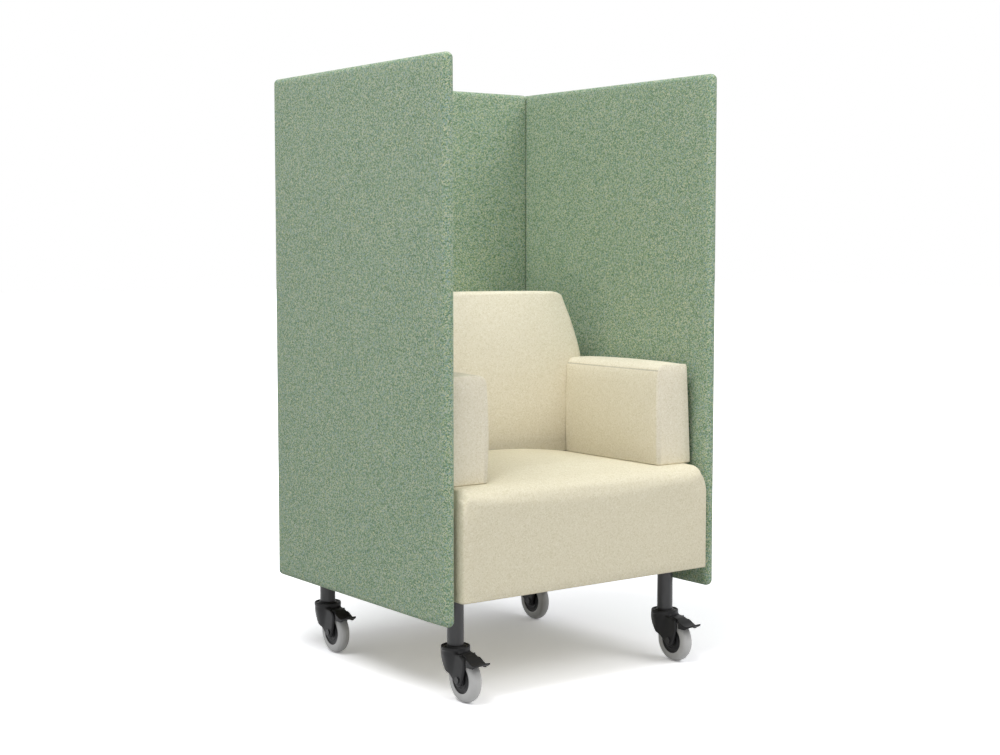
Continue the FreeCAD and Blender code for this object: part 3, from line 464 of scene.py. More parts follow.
@dataclass(frozen=True)
class PlyBoard:
    """Plywood and particle board, with grain along X."""

    name: str
    light: Colour
    dark: Colour
    fineness: Triple = (6.0, 90.0, 90.0)
    relief: float = 0.0002

    def build(self) -> bpy.types.Material:
        """Makes the board's material.

        Returns:
            The material.
        """
        shading = Shading(self.name)
        stretched = shading.node("Mapping", Vector=shading.place(), Scale=self.fineness)
        grain = shading.node("TexNoise", Vector=stretched.outputs[0], Scale=1.0,
                             Detail=5.0).outputs["Fac"]
        shading.bump(grain, self.relief, strength=0.4)
        shading.feed(shading.shader, Roughness=0.6,
                     Base_Color=shading.ramp(grain, [(0.35, self.dark), (0.65, self.light)]))
        return shading.material


class Finishes:
    """All finishes of the chair, each made once."""

    def __init__(self) -> None:
        """Makes every material."""
        # Painted light and shade: one cream cloth, darker for the seat, lighter and bluer for the
        # backrest, a little bluer for the arms, standing in for how light falls on each piece.
        self.seat_wool = self.wool("cream_wool_of_seat", (0.945, 0.945, 0.955))
        self.back_wool = self.wool("cream_wool_of_backrest", (1.12, 1.12, 1.19),
                                   crease=Crease(foot=0.490, fade=0.045, depth=0.32))
        self.arm_wool = self.wool(
            "cream_wool_of_arms", (1.01, 1.01, 1.07),
            seam=Seam(axis=2, place=0.677, half=0.0020, depth=0.30, facing=0),
            crease=Crease(foot=0.470, fade=0.055, depth=0.17, within=0.252))
        self.green = WovenCloth(
            "flecked_sage_cloth",
            ((0.0, srgb(92, 126, 96)), (0.2, srgb(122, 148, 116)), (0.4, srgb(146, 171, 142)),
             (0.55, srgb(138, 163, 162)), (0.7, srgb(166, 182, 138)), (0.85, srgb(178, 188, 174)),
             (1.0, srgb(200, 202, 162))),
            fleck=0.0022, relief=0.0004, patches=0.03, sheen=0.12).build()
        self.black_metal = Moulded("black_powder_coat", srgb(38, 38, 39), roughness=0.36,
                                   shine=0.4, depth=0.00003).build()
        self.black_plastic = Moulded("black_moulded_plastic", srgb(34, 34, 35), roughness=0.42,
                                     shine=0.20, depth=0.00003).build()
        self.tread = Moulded("grey_tread_rubber", srgb(192, 192, 191), roughness=0.34,
                             variation=0.04).build()
        self.steel = Moulded("zinc_plated_steel", srgb(190, 190, 188), roughness=0.3,
                             metallic=1.0, variation=0.06).build()
        self.ply = PlyBoard("birch_ply", srgb(214, 186, 146), srgb(188, 154, 112)).build()

    @staticmethod
    def wool(name: str, tone: Colour, seam: Seam | None = None,
             crease: Crease | None = None) -> bpy.types.Material:
        """Cream wool in a tone that paints light or shade onto one piece.

        Args:
            name: the material's name.
            tone: factors on the yarns' red, green and blue, which paint light or shade as a
                lighter, darker or bluer copy of the cream.
            seam: sewn line.
            crease: painted shade at the padding's foot.

        Returns:
            The material.
        """
        cream = ((0.0, srgb(222, 214, 184)), (0.3, srgb(231, 223, 196)), (0.6, srgb(236, 229, 204)),
                 (0.8, srgb(231, 223, 197)), (1.0, srgb(242, 236, 213)))
        yarns = tuple((spot, tuple(min(1.0, part * factor) for part, factor in zip(colour, tone)))
                      for spot, colour in cream)
        return WovenCloth(name, yarns, seam=seam, crease=crease).build()


def dress(piece: bpy.types.Object, material: bpy.types.Material) -> None:
    """Gives all of a piece one material."""
    piece.data.materials.clear()
    piece.data.materials.append(material)


def settle(piece: bpy.types.Object, body: str, node: str,
           material: bpy.types.Material) -> None:
    """Ties a piece to its body, its finish and the node that it stands for, and reports it.

    Args:
        piece: the new piece.
        body: body that it moves with.
        node: node that it replaces.
        material: its finish.
    """
    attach(piece, body)
    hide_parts(node)
    dress(piece, material)
    LOG.info("%s: %d faces", piece.name, len(piece.data.polygons))


def add_object(name: str, data: bpy.types.ID) -> bpy.types.Object:
    """Puts a mesh, a lamp or a camera into the scene.

    Args:
        name: the object's name.
        data: what it holds.

    Returns:
        The object, at the origin.
    """
    made = bpy.data.objects.new(name, data)
    bpy.context.scene.collection.objects.link(made)
    return made


def new_mesh(name: str, points: np.ndarray, faces: np.ndarray) -> bpy.types.Object:
    """Makes a mesh object, merges doubled points and turns its faces outwards.

    Args:
        name: the piece's name.
        points: n by 3 positions.
        faces: m by 4 indices.

    Returns:
        The object, at the origin.
    """
    mesh = bpy.data.meshes.new(name)
    mesh.from_pydata(points.tolist(), [], faces.tolist())
    work = bmesh.new()
    work.from_mesh(mesh)
    bmesh.ops.remove_doubles(work, verts=work.verts, dist=1e-6)
    bmesh.ops.dissolve_degenerate(work, edges=work.edges, dist=1e-7)
    bmesh.ops.recalc_face_normals(work, faces=work.faces)
    work.to_mesh(mesh)
    work.free()
    mesh.shade_smooth()
    return add_object(name, mesh)


def stations(ends: Pair, rounds: Pair, step: float, turns: int) -> np.ndarray:
    """Places of grid lines between two faces, closer together where the edges are rounded.

    In a rounded zone of radius r the line of angle a lies r (1 - tan a) from the edge, so that the
    lines share the quarter turn evenly.

    Args:
        ends: places of the two faces.
        rounds: radii at the two faces.
        step: greatest distance between lines elsewhere.
        turns: lines in half a quarter turn.

    Returns:
        The sorted places.
    """
    angles = np.linspace(math.pi / 4, 0.0, turns + 1)
    near = ends[0] + rounds[0] * (1 - np.tan(angles))
    far = ends[1] - rounds[1] * (1 - np.tan(angles[::-1]))
    count = max(2, int(math.ceil((far[0] - near[-1]) / step)) + 1)
    return np.concatenate([near[:-1], np.linspace(near[-1], far[0], count), far[1:]])


def box_grid(lines: Sequence[np.ndarray]) -> tuple[np.ndarray, np.ndarray]:
    """Grid over the six faces of a box.

    Args:
        lines: the grid lines' places along X, Y and Z.

    Returns:
        The points and the four-sided faces. Points on shared edges are doubled.
    """
    points, faces, count = [], [], 0
    for axis, (first, second) in enumerate(OTHERS):
        across, up = np.meshgrid(lines[first], lines[second], indexing="ij")
        index = np.arange(across.size).reshape(across.shape)
        quads = np.stack([index[:-1, :-1], index[1:, :-1], index[1:, 1:], index[:-1, 1:]], axis=-1)
        for end in (0, -1):
            face = np.zeros((across.size, 3))
            face[:, axis] = lines[axis][end]
            face[:, first] = across.ravel()
            face[:, second] = up.ravel()
            points.append(face)
            faces.append(quads.reshape(-1, 4) + count)
            count += across.size
    return np.concatenate(points), np.concatenate(faces)


@dataclass(frozen=True)
class Block:
    """A box with rounded edges, ready to be bent into an upholstered form."""

    low: Triple
    high: Triple
    rounds: tuple[Pair, Pair, Pair]
    step: float
    turns: int = 6

    def rounded(self, radii: PerPoint) -> tuple[np.ndarray, np.ndarray]:
        """Grid over the rounded box.

        Each point of the sharp box is drawn to the nearest place q of the box shrunk by its radii,
        and set at q plus its radii times the unit direction from q, which gives quarter ellipses
        across edges and flat faces between.

        Args:
            radii: gives each point its radii along X, Y and Z.

        Returns:
            Points and faces.
        """
        points, faces = box_grid([stations(ends, rounds, self.step, self.turns)
                                  for *ends, rounds in zip(self.low, self.high, self.rounds)])
        spread = radii(points)
        core = np.clip(points, np.array(self.low) + spread, np.array(self.high) - spread)
        away = (points - core) / spread
        length = np.linalg.norm(away, axis=1, keepdims=True)
        return core + spread * away / np.where(length > 0, length, 1.0), faces


@dataclass(frozen=True)
class Screens:
    """Two side screens and a back screen: boards in padded fabric with rounded edges."""

    finishes: Finishes
    half_width: float = 0.378
    front: float = -0.3435
    rear: float = 0.3725
    bottom: float = 0.175
    top: float = 1.35
    thick: float = 0.028
    edge: float = 0.011
    front_edge: float = 0.0135
    front_blend: Pair = (0.02, 0.06)
    end_edge: float = 0.003
    pillow: float = 0.0012
    pillow_reach: float = 0.06
    step: float = 0.03

    def cover(self, name: str, axis: int, block: Block, radii: PerPoint) -> bpy.types.Object:
        """Cover of a screen, whose padding stands a little proud of the faces' borders.

        Over a set reach from the border the faces rise by the pillow along 1 - (1 - s)^2, where s
        is the share of that reach.

        Args:
            name: the piece's name.
            axis: axis across the screen.
            block: the screen's box.
            radii: gives each point its radii.

        Returns:
            The piece.
        """
        points, faces = block.rounded(radii)
        low, high = block.low, block.high
        margin = np.min([np.minimum(points[:, other] - low[other], high[other] - points[:, other])
                         for other in OTHERS[axis]], axis=0)
        share = np.clip(margin / self.pillow_reach, 0.0, 1.0)
        middle = (low[axis] + high[axis]) / 2
        side = np.clip((points[:, axis] - middle) / (self.thick / 2), -1.0, 1.0)
        points[:, axis] -= side * self.pillow * (1 - share) ** 2
        return new_mesh(name, points, faces)

    def side_screen(self, side: Side) -> bpy.types.Object:
        """Side screen, rounder along its front edge.

        Args:
            side: which screen.

        Returns:
            The piece.
        """
        inner, plain = self.half_width - self.thick, (self.edge, self.edge)
        near, far = sorted(side.value * place for place in (self.half_width, inner))
        block = Block((near, self.front, self.bottom), (far, self.rear, self.top),
                      (plain, (self.front_edge, self.edge), plain), self.step)

        def radii(points: np.ndarray) -> np.ndarray:
            """Front edge radius ahead of the blend, plain edge radius behind it.

            Args:
                points: n by 3 points on the box.

            Returns:
                n by 3 radii.
            """
            start, end = self.front_blend
            share = smooth_step(points[:, 1:2], self.front + start, self.front + end)
            radius = self.front_edge + (self.edge - self.front_edge) * share
            return np.repeat(radius, 3, axis=1)

        return self.cover(f"screen_{side.word}_fabric", 0, block, radii)

    def back_screen(self) -> bpy.types.Object:
        """Back screen, with tight ends where it meets the side screens.

        Returns:
            The piece.
        """
        inner, front = self.half_width - self.thick, self.rear - self.thick
        plain = (self.edge, self.edge)
        block = Block((-inner, front, self.bottom), (inner, self.rear, self.top),
                      ((self.end_edge, self.end_edge), plain, plain), self.step)
        return self.cover("screen_back_fabric", 1, block, lambda points: np.tile(
            [self.end_edge, self.edge, self.edge], (len(points), 1)))

    def build(self) -> None:
        """Makes and dresses the three screens."""
        made = {"screen_left": self.side_screen(Side.LEFT),
                "screen_right": self.side_screen(Side.RIGHT),
                "screen_back": self.back_screen()}
        for node, piece in made.items():
            settle(piece, "chair", node, self.finishes.green)


def per_vertex(vertices: bpy.types.MeshVertices, key: str) -> np.ndarray:
    """Reads a vector of every vertex.

    Args:
        vertices: a mesh's vertices.
        key: which of their vectors.

    Returns:
        n by 3 numbers.
    """
    flat = np.empty(len(vertices) * 3)
    vertices.foreach_get(key, flat)
    return flat.reshape(-1, 3)


@dataclass(frozen=True)
class Stuffing:
    """Foam that swells under its cover, by a cloth simulation with even pressure and no gravity.

    The cover starts a little inside its form, and no point ends further than the cap from there.
    """

    cap: float = 0.0025
    shrink: float = 0.001
    frames: int = 20
    pressure: float = 4.0
    mass: float = 0.3
    stretching: float = 30.0
    shearing: float = 15.0
    bending: float = 2.0

    def swell(self, piece: bpy.types.Object, held: PerPoint) -> None:
        """Runs the simulation on a cover and keeps the result in its mesh.

        Args:
            piece: the cover.
            held: tells which points rest on something or lie on a sewn edge, and stay.
        """
        mesh = piece.data
        start = per_vertex(mesh.vertices, "co")
        fixed = held(start)
        begin = start - per_vertex(mesh.vertices, "normal") * self.shrink * ~fixed[:, None]
        mesh.vertices.foreach_set("co", begin.ravel())
        pins = piece.vertex_groups.new(name="held")
        pins.add(np.flatnonzero(fixed).tolist(), 1.0, "REPLACE")
        cloth = piece.modifiers.new("Cloth", "CLOTH")
        settings = cloth.settings
        settings.quality = 4
        settings.mass = self.mass
        settings.tension_stiffness = settings.compression_stiffness = self.stretching
        settings.shear_stiffness = self.shearing
        settings.bending_stiffness = self.bending
        settings.use_pressure = True
        settings.uniform_pressure_force = self.pressure
        settings.vertex_group_mass = pins.name
        settings.effector_weights.gravity = 0.0
        scene = bpy.context.scene
        for frame in range(1, self.frames + 1):
            scene.frame_set(frame)
        blown = piece.evaluated_get(bpy.context.evaluated_depsgraph_get())
        move = per_vertex(blown.data.vertices, "co") - begin
        piece.modifiers.remove(cloth)
        piece.vertex_groups.remove(pins)
        scene.frame_set(1)
        length = np.linalg.norm(move, axis=1, keepdims=True)
        move *= np.minimum(1.0, self.cap / np.maximum(length, 1e-9))
        mesh.vertices.foreach_set("co", (begin + move).ravel())
        mesh.update()
        LOG.info("%s: swelled by %.1f mm at most", piece.name,
                 MILLIMETRES * float(np.linalg.norm(move, axis=1).max()))


@dataclass(frozen=True)
class Upholstery:
    """Seat block, arms and backrest in cream fabric.

    In the methods that build a piece, across, along and up are views of the points' coordinates, so
    that a change to one of them moves the points. A cover is held within a few millimetres of its
    sewn edges and of the faces that rest on something.
    """

    finishes: Finishes
    stuffing: Stuffing = Stuffing()
    seat_half: float = 0.342
    seat_front: float = -0.3555
    seat_rear: float = 0.3365
    seat_bottom: float = 0.222
    seat_top: float = 0.460
    seat_crown: float = 0.0205
    arm_span: float = 0.239
    arm_width: float = 0.102
    arm_lean: float = 0.012
    arm_front: float = -0.2985
    arm_rear: float = 0.0365
    arm_top: float = 0.690
    arm_crown: float = 0.004
    arm_bulge: float = 0.0055
    back_front: float = 0.0368
    back_top: float = 0.8505
    back_halves: Triple = (0.289, 0.2745, 0.249)
    back_heights: Pair = (0.7542, 0.839)
    back_foot_half: float = 0.334
    back_last_height: float = 0.846
    back_bend: float = 0.676
    back_ease: float = 0.060
    back_lean: float = 10.0
    back_belly: float = 0.005
    gap: float = 0.0003
    held_reach: float = 0.006
    step: float = 0.010

    def seat(self) -> bpy.types.Object:
        """Seat block: crowned between the arms, rolled over at the front, rounded at the sides.

        Returns:
            The piece.
        """
        side, roll, corner, foot, back = 0.022, 0.036, 0.006, 0.006, 0.010
        block = Block((-self.seat_half, self.seat_front, self.seat_bottom),
                      (self.seat_half, self.seat_rear, self.seat_top),
                      ((side, side), (roll, back), (foot, side)), self.step)
        middle = (self.seat_bottom + self.seat_top) / 2

        def radii(points: np.ndarray) -> np.ndarray:
            """Wide radii above, a tight turn at the foot, upright corners between the two.

            Args:
                points: n by 3 points on the box.

            Returns:
                n by 3 radii.
            """
            rise = smooth_step(points[:, 2], self.seat_top - 0.060, self.seat_top - 0.012)
            rear = smooth_step(points[:, 1], 0.0, self.seat_rear - 0.05)
            wide = corner + (side - corner) * rise
            deep = (corner + (roll - corner) * rise) * (1 - rear) + back * rear
            high = np.where(points[:, 2] > middle, side + (roll - side) * 0.5, foot)
            return np.stack([wide, deep, high], axis=1)

        points, faces = block.rounded(radii)
        across, along, up = points.T
        crown = np.clip(1 - (across / (self.arm_span + 0.002)) ** 2, 0.0, 1.0)
        fade = smooth_step(along, self.seat_front + 0.030, self.seat_front + 0.125)
        fade *= 1 - smooth_step(along, self.arm_rear, self.arm_rear + 0.02)
        lift = smooth_step(up, self.seat_top - 0.05, self.seat_top)
        up += self.seat_crown * crown * fade * lift
        return new_mesh("seat_cover", points, faces)

    def arm(self, side: Side) -> bpy.types.Object:
        """Arm: swollen inner face, round inner top edge, outer face leaning in.

        Args:
            side: which arm.

        Returns:
            The piece.
        """
        foot = self.seat_top + self.gap
        inner, outer = self.arm_span, self.arm_span + self.arm_width
        big, small, ends, tight = 0.023, 0.008, 0.004, 0.003
        block = Block((inner, self.arm_front, foot), (outer, self.arm_rear, self.arm_top),
                      ((big, small), (ends, tight), (tight, big)), self.step)
        middle, shoulder, rear = (inner + outer) / 2, self.arm_top - 0.10, -0.13

        def radii(points: np.ndarray) -> np.ndarray:
            """Large radius along the inner top edge, small ones elsewhere.

            Args:
                points: n by 3 points on the box.

            Returns:
                n by 3 radii.
            """
            above = smooth_step(points[:, 2], shoulder, self.arm_top - 0.045)
            inside = 1 - smooth_step(points[:, 0], middle - 0.02, middle + 0.02)
            wide = ends + (big - ends) * above * inside + (small - ends) * above * (1 - inside)
            high = np.where(points[:, 2] > shoulder, small + (big - small) * inside, tight)
            deep = np.where(points[:, 1] > rear, tight, ends)
            return np.stack([wide, deep, high], axis=1)

        points, faces = block.rounded(radii)
        across, along, up = points.T
        height = np.clip((up - foot) / (self.arm_top - foot), 0.0, 1.0)
        width = np.clip((across - inner) / self.arm_width, 0.0, 1.0)
        length = np.clip((along - self.arm_front) / (self.arm_rear - self.arm_front), 0.0, 1.0)
        arch = np.sin(np.pi * length)
        belly = np.clip(1 - ((height - 0.45) / 0.47) ** 2, 0.0, 1.0)
        across -= self.arm_lean * height * width
        across -= self.arm_bulge * belly * (1 - width) ** 2 * (0.75 + 0.25 * arch)
        top = smooth_step(height, 0.85, 1.0)
        up += self.arm_crown * top * np.sin(np.pi * width) * (0.35 + 0.65 * arch)
        across *= side.value
        return new_mesh(f"arm_{side.word}_cover", points, faces)

    def back_half_width(self, heights: np.ndarray) -> np.ndarray:
        """Half width of the backrest: straight up to the arms' top, then a parabola.

        The parabola goes through three half widths, the first of them at the arms' top.

        Args:
            heights: heights above the floor.

        Returns:
            The half widths.
        """
        heights = np.minimum(heights, self.back_last_height)
        known, half = (self.arm_top, *self.back_heights), self.back_halves[0]
        curve = np.polyval(np.polyfit(known, self.back_halves, 2), heights)
        drop = (self.arm_top - heights) / (self.arm_top - self.seat_top)
        return np.where(heights < self.arm_top, half + drop * (self.back_foot_half - half), curve)

    def backrest(self) -> bpy.types.Object:
        """Backrest: upright behind the arms, then leaning back to a rounded top.

        Above the bend its front moves back by slope h^2 / (2 ease) within the ease, and by
        slope (h - ease / 2) past it, with h the height above the bend.

        Returns:
            The piece.
        """
        half, foot = self.back_halves[0], self.seat_top + self.gap
        corner, drop, edge, tight, rear_edge, rear_drop = 0.040, 0.0125, 0.009, 0.003, 0.021, 0.018
        block = Block((-half, self.back_front, foot), (half, self.seat_rear, self.back_top),
                      ((corner, corner), (edge, 0.03), (tight, drop)), self.step)

        def radii(points: np.ndarray) -> np.ndarray:
            """Wide rounded top corners, small radii along the upright edges.

            Args:
                points: n by 3 points on the box.

            Returns:
                n by 3 radii.
            """
            above = smooth_step(points[:, 2], self.back_top - 0.06, self.back_top - 0.02)
            rear = smooth_step(points[:, 1], 0.15, 0.28)
            wide = edge + (corner - edge) * above
            deep = edge + rear_edge * rear * above
            high = np.where(points[:, 2] > 0.6, drop + rear_drop * rear, tight)
            return np.stack([wide, deep, high], axis=1)

        points, faces = block.rounded(radii)
        across, along, up = points.T
        across *= self.back_half_width(up) / half
        ease, slope = self.back_ease, math.tan(math.radians(self.back_lean))
        above = np.clip(up - self.back_bend, 0.0, None)
        shift = np.where(above < ease, slope * above ** 2 / (2 * ease), slope * (above - ease / 2))
        depth = np.clip((along - self.back_front) / (self.seat_rear - self.back_front), 0.0, 1.0)
        along += shift * (1 - depth)
        share = np.clip(across / self.back_half_width(up), -1.0, 1.0)
        belly = smooth_step(up, foot + 0.02, foot + 0.12) * (1 - 0.5 * smooth_step(up, 0.78, 0.85))
        along -= self.back_belly * (1 - share ** 2) * belly * (1 - depth) ** 3
        crown = 0.002 * (1 - share ** 2) - 0.009 * depth ** 2
        up += smooth_step(up, 0.82, self.back_top) * crown
        return new_mesh("backrest_cover", points, faces)

    def seat_held(self, points: np.ndarray) -> np.ndarray:
        """Underside, rear, front corners, and the top where the arms and the backrest stand.

        Args:
            points: n by 3 points of the seat.

        Returns:
            Whether each point stays.
        """
        across, along, up = np.abs(points[:, 0]), points[:, 1], points[:, 2]
        reach, wide, thin = self.held_reach, 0.008, 0.004
        under_arm = (across > self.arm_span - reach) & (along > self.arm_front - reach)
        under_back = along > self.arm_rear - reach
        corner = (across > self.seat_half - wide) & (along < self.seat_front + wide)
        carrying = (up > self.seat_top - thin) & (under_arm | under_back)
        hidden = (up < self.seat_bottom + wide) | (along > self.seat_rear - reach)
        return hidden | corner | carrying

    def arm_held(self, points: np.ndarray) -> np.ndarray:
        """Foot, rear and upright front corners of an arm.

        Args:
            points: n by 3 points of the arm.

        Returns:
            Whether each point stays.
        """
        across, along, up = np.abs(points[:, 0]), points[:, 1], points[:, 2]
        reach, thin, rear = self.held_reach, 0.004, 0.003
        lean = self.arm_lean * (up - self.seat_top) / (self.arm_top - self.seat_top)
        outside = across > self.arm_span + self.arm_width - lean - reach
        inside = across < self.arm_span + reach
        corner = (along < self.arm_front + reach) & (inside | outside)
        return (up < self.seat_top + thin) | (along > self.arm_rear - rear) | corner

    def back_held(self, points: np.ndarray) -> np.ndarray:
        """Foot, rear, sides and top of the backrest, and its front where the arms meet it.

        Args:
            points: n by 3 points of the backrest.

        Returns:
            Whether each point stays.
        """
        across, along, up = np.abs(points[:, 0]), points[:, 1], points[:, 2]
        wide, side, thin, front = 0.012, 0.010, 0.004, 0.002
        behind_arm = (across > self.arm_span - side) & (up < self.arm_top + thin)
        return ((up < self.seat_top + wide) | (up > self.back_top - self.held_reach)
                | (along > self.seat_rear - wide) | (across > self.back_half_width(up) - side)
                | ((along < self.back_front + front) & behind_arm))

    def build(self) -> None:
        """Makes, swells, pads and dresses the four cream pieces."""
        made = {
            "seat_pad": (self.seat(), self.seat_held, self.finishes.seat_wool),
            "backrest_pad": (self.backrest(), self.back_held, self.finishes.back_wool),
            "arm_left_pad": (self.arm(Side.LEFT), self.arm_held, self.finishes.arm_wool),
            "arm_right_pad": (self.arm(Side.RIGHT), self.arm_held, self.finishes.arm_wool),
        }
        for node, (piece, held, wool) in made.items():
            self.stuffing.swell(piece, held)
            smoothing = piece.modifiers.new("Subdivision", "SUBSURF")
            smoothing.levels = smoothing.render_levels = 1
            settle(piece, "chair", node, wool)


def blend_max(first: np.ndarray, second: np.ndarray, width: float) -> np.ndarray:
    """The larger of two distances, rounded where they are nearly alike.

    It is max + h^2 w / 4, where h = 1 - |a - b| / w, at least 0.

    Args:
        first, second: the distances.
        width: difference w below which the rounding starts, in metres.

    Returns:
        The rounded larger distance.
    """
    share = np.clip(1.0 - np.abs(first - second) / width, 0.0, None)
    return np.maximum(first, second) + share ** 2 * width / 4


def blend_min(first: np.ndarray, second: np.ndarray, width: float) -> np.ndarray:
    """The smaller of two distances, with a fillet where they are nearly alike."""
    return -blend_max(-first, -second, width)


def common(*distances: np.ndarray) -> np.ndarray:
    """Distance to what several forms share, with sharp edges: the largest of their distances."""
    return np.maximum.reduce(np.broadcast_arrays(*distances))


def convex(across: np.ndarray, up: np.ndarray, corners: Sequence[Pair], width: float) -> np.ndarray:
    """Distance outside a convex outline: the largest distance outside any of its sides.

    Args:
        across, up: coordinates.
        corners: the outline's corners in millimetres, counter-clockwise.
        width: rounding between neighbouring sides, in metres.

    Returns:
        The distance in metres, negative inside.
    """
    result = np.full_like(across, -1.0)
    for (a0, u0), (a1, u1) in zip(corners, [*corners[1:], corners[0]]):
        length = math.hypot(a1 - a0, u1 - u0)
        right, above = across - a0 / MILLIMETRES, up - u0 / MILLIMETRES
        result = blend_max(result, (right * (u1 - u0) - above * (a1 - a0)) / length, width)
    return result


def window(array: np.ndarray, ranges: dict[int, tuple[int, int | None]]) -> np.ndarray:
    """Slice of an array along some of its axes.

    Args:
        array: the array.
        ranges: start and stop on each axis that is sliced.

    Returns:
        The slice.
    """
    return array[tuple(slice(*ranges.get(axis, (None,))) for axis in range(array.ndim))]


@dataclass(frozen=True)
class Form:
    """A closed surface that is worked out once and used at several places."""

    points: np.ndarray
    faces: np.ndarray

    def placed(self, name: str, place: np.ndarray) -> bpy.types.Object:
        """A piece of the form, whose own origin is moved to a place."""
        return new_mesh(name, self.points + place, self.faces)


def moulded(distance: PerPoint, low: Triple, high: Triple, cell: float) -> Form:
    """Surface where a distance is zero.

    Each grid cell that the surface crosses gets one point, the mean of the crossings on the cell's
    edges, and each crossed edge gets a face between its four cells. Two Newton steps
    p - f g / |g|^2, with g the slope of the distance f, then put the points on the surface.

    Args:
        distance: distance at places given as an array of triples.
        low, high: corners of the searched box.
        cell: width of a grid cell.

    Returns:
        The form.
    """
    axes = [np.arange(start - cell, end + 2 * cell, cell) for start, end in zip(low, high)]
    spots = np.stack(np.meshgrid(*axes, indexing="ij"), axis=-1)
    height = distance(spots)
    cells = tuple(number - 1 for number in height.shape)
    total, count, crossings = np.zeros((*cells, 3)), np.zeros(cells), []
    for axis, (first, second) in enumerate(OTHERS):
        near, far = window(height, {axis: (0, -1)}), window(height, {axis: (1, None)})
        crossed = (near < 0) != (far < 0)
        share = near / np.where(crossed, near - far, 1.0)
        place = window(spots, {axis: (0, -1)}).copy()
        place[..., axis] += np.where(crossed, share, 0.0) * cell
        for one, two in ((0, 0), (0, 1), (1, 0), (1, 1)):
            part = {first: (one, cells[first] + one), second: (two, cells[second] + two)}
            hit = window(crossed, part)
            count += hit
            total += window(place, part) * hit[..., None]
        crossings.append(crossed)
    used = count > 0
    index = np.full(cells, -1)
    index[used] = np.arange(int(used.sum()))
    points = total[used] / count[used][:, None]
    faces = []
    for crossed, (first, second) in zip(crossings, OTHERS):
        inner = window(crossed, {first: (1, -1), second: (1, -1)})
        around = [window(index, {first: (one, one + inner.shape[first]),
                                 second: (two, two + inner.shape[second])})[inner]
                  for one, two in ((0, 0), (1, 0), (1, 1), (0, 1))]
        faces.append(np.stack(around, axis=-1))
    reach, least_slope = cell / 20, 0.25
    for _ in range(2):
        slope = np.stack([distance(points + step) - distance(points - step)
                          for step in np.eye(3) * reach], axis=-1)
        slope /= 2 * reach
        square = np.maximum((slope ** 2).sum(axis=1), least_slope)
        move = np.clip(distance(points) / square, -cell / 2, cell / 2)
        points = points - move[:, None] * slope
    return Form(points, np.concatenate(faces))


def revolved(corners: Sequence[tuple[float, float, float]], turns: int = 72) -> Form:
    """Closed outline of length and radius turned about the X axis.

    A corner c with a rounding r is replaced by the curve a (1 - t)^2 + 2 c t (1 - t) + b t^2 from
    a, which is r before it, to b, which is r after it.

    Args:
        corners: length, radius and rounding of each corner, in millimetres.
        turns: steps round the axis.

    Returns:
        The form.
    """
    places = np.array([corner[:2] for corner in corners]) / MILLIMETRES
    outline = []
    for number, (_, _, rounding) in enumerate(corners):
        here = places[number]
        if rounding == 0:
            outline.append(here)
            continue
        start, end = (here + (other - here) / np.linalg.norm(other - here) * rounding / MILLIMETRES
                      for other in (places[number - 1], places[(number + 1) % len(places)]))
        outline.extend(start * (1 - t) ** 2 + here * 2 * t * (1 - t) + end * t ** 2
                       for t in np.linspace(0.0, 1.0, 5))
    along, radius = np.array(outline).T
    angles = np.linspace(0.0, 2 * math.pi, turns, endpoint=False)
    points = np.stack([np.repeat(along, turns), np.outer(radius, np.cos(angles)).ravel(),
                       np.outer(radius, np.sin(angles)).ravel()], axis=1)
    index = np.arange(len(points)).reshape(len(along), turns)
    across, down = np.roll(index, -1, axis=1), np.roll(index, -1, axis=0)
    faces = np.stack([index, across, np.roll(across, -1, axis=0), down], axis=-1).reshape(-1, 4)
    return Form(points, faces)


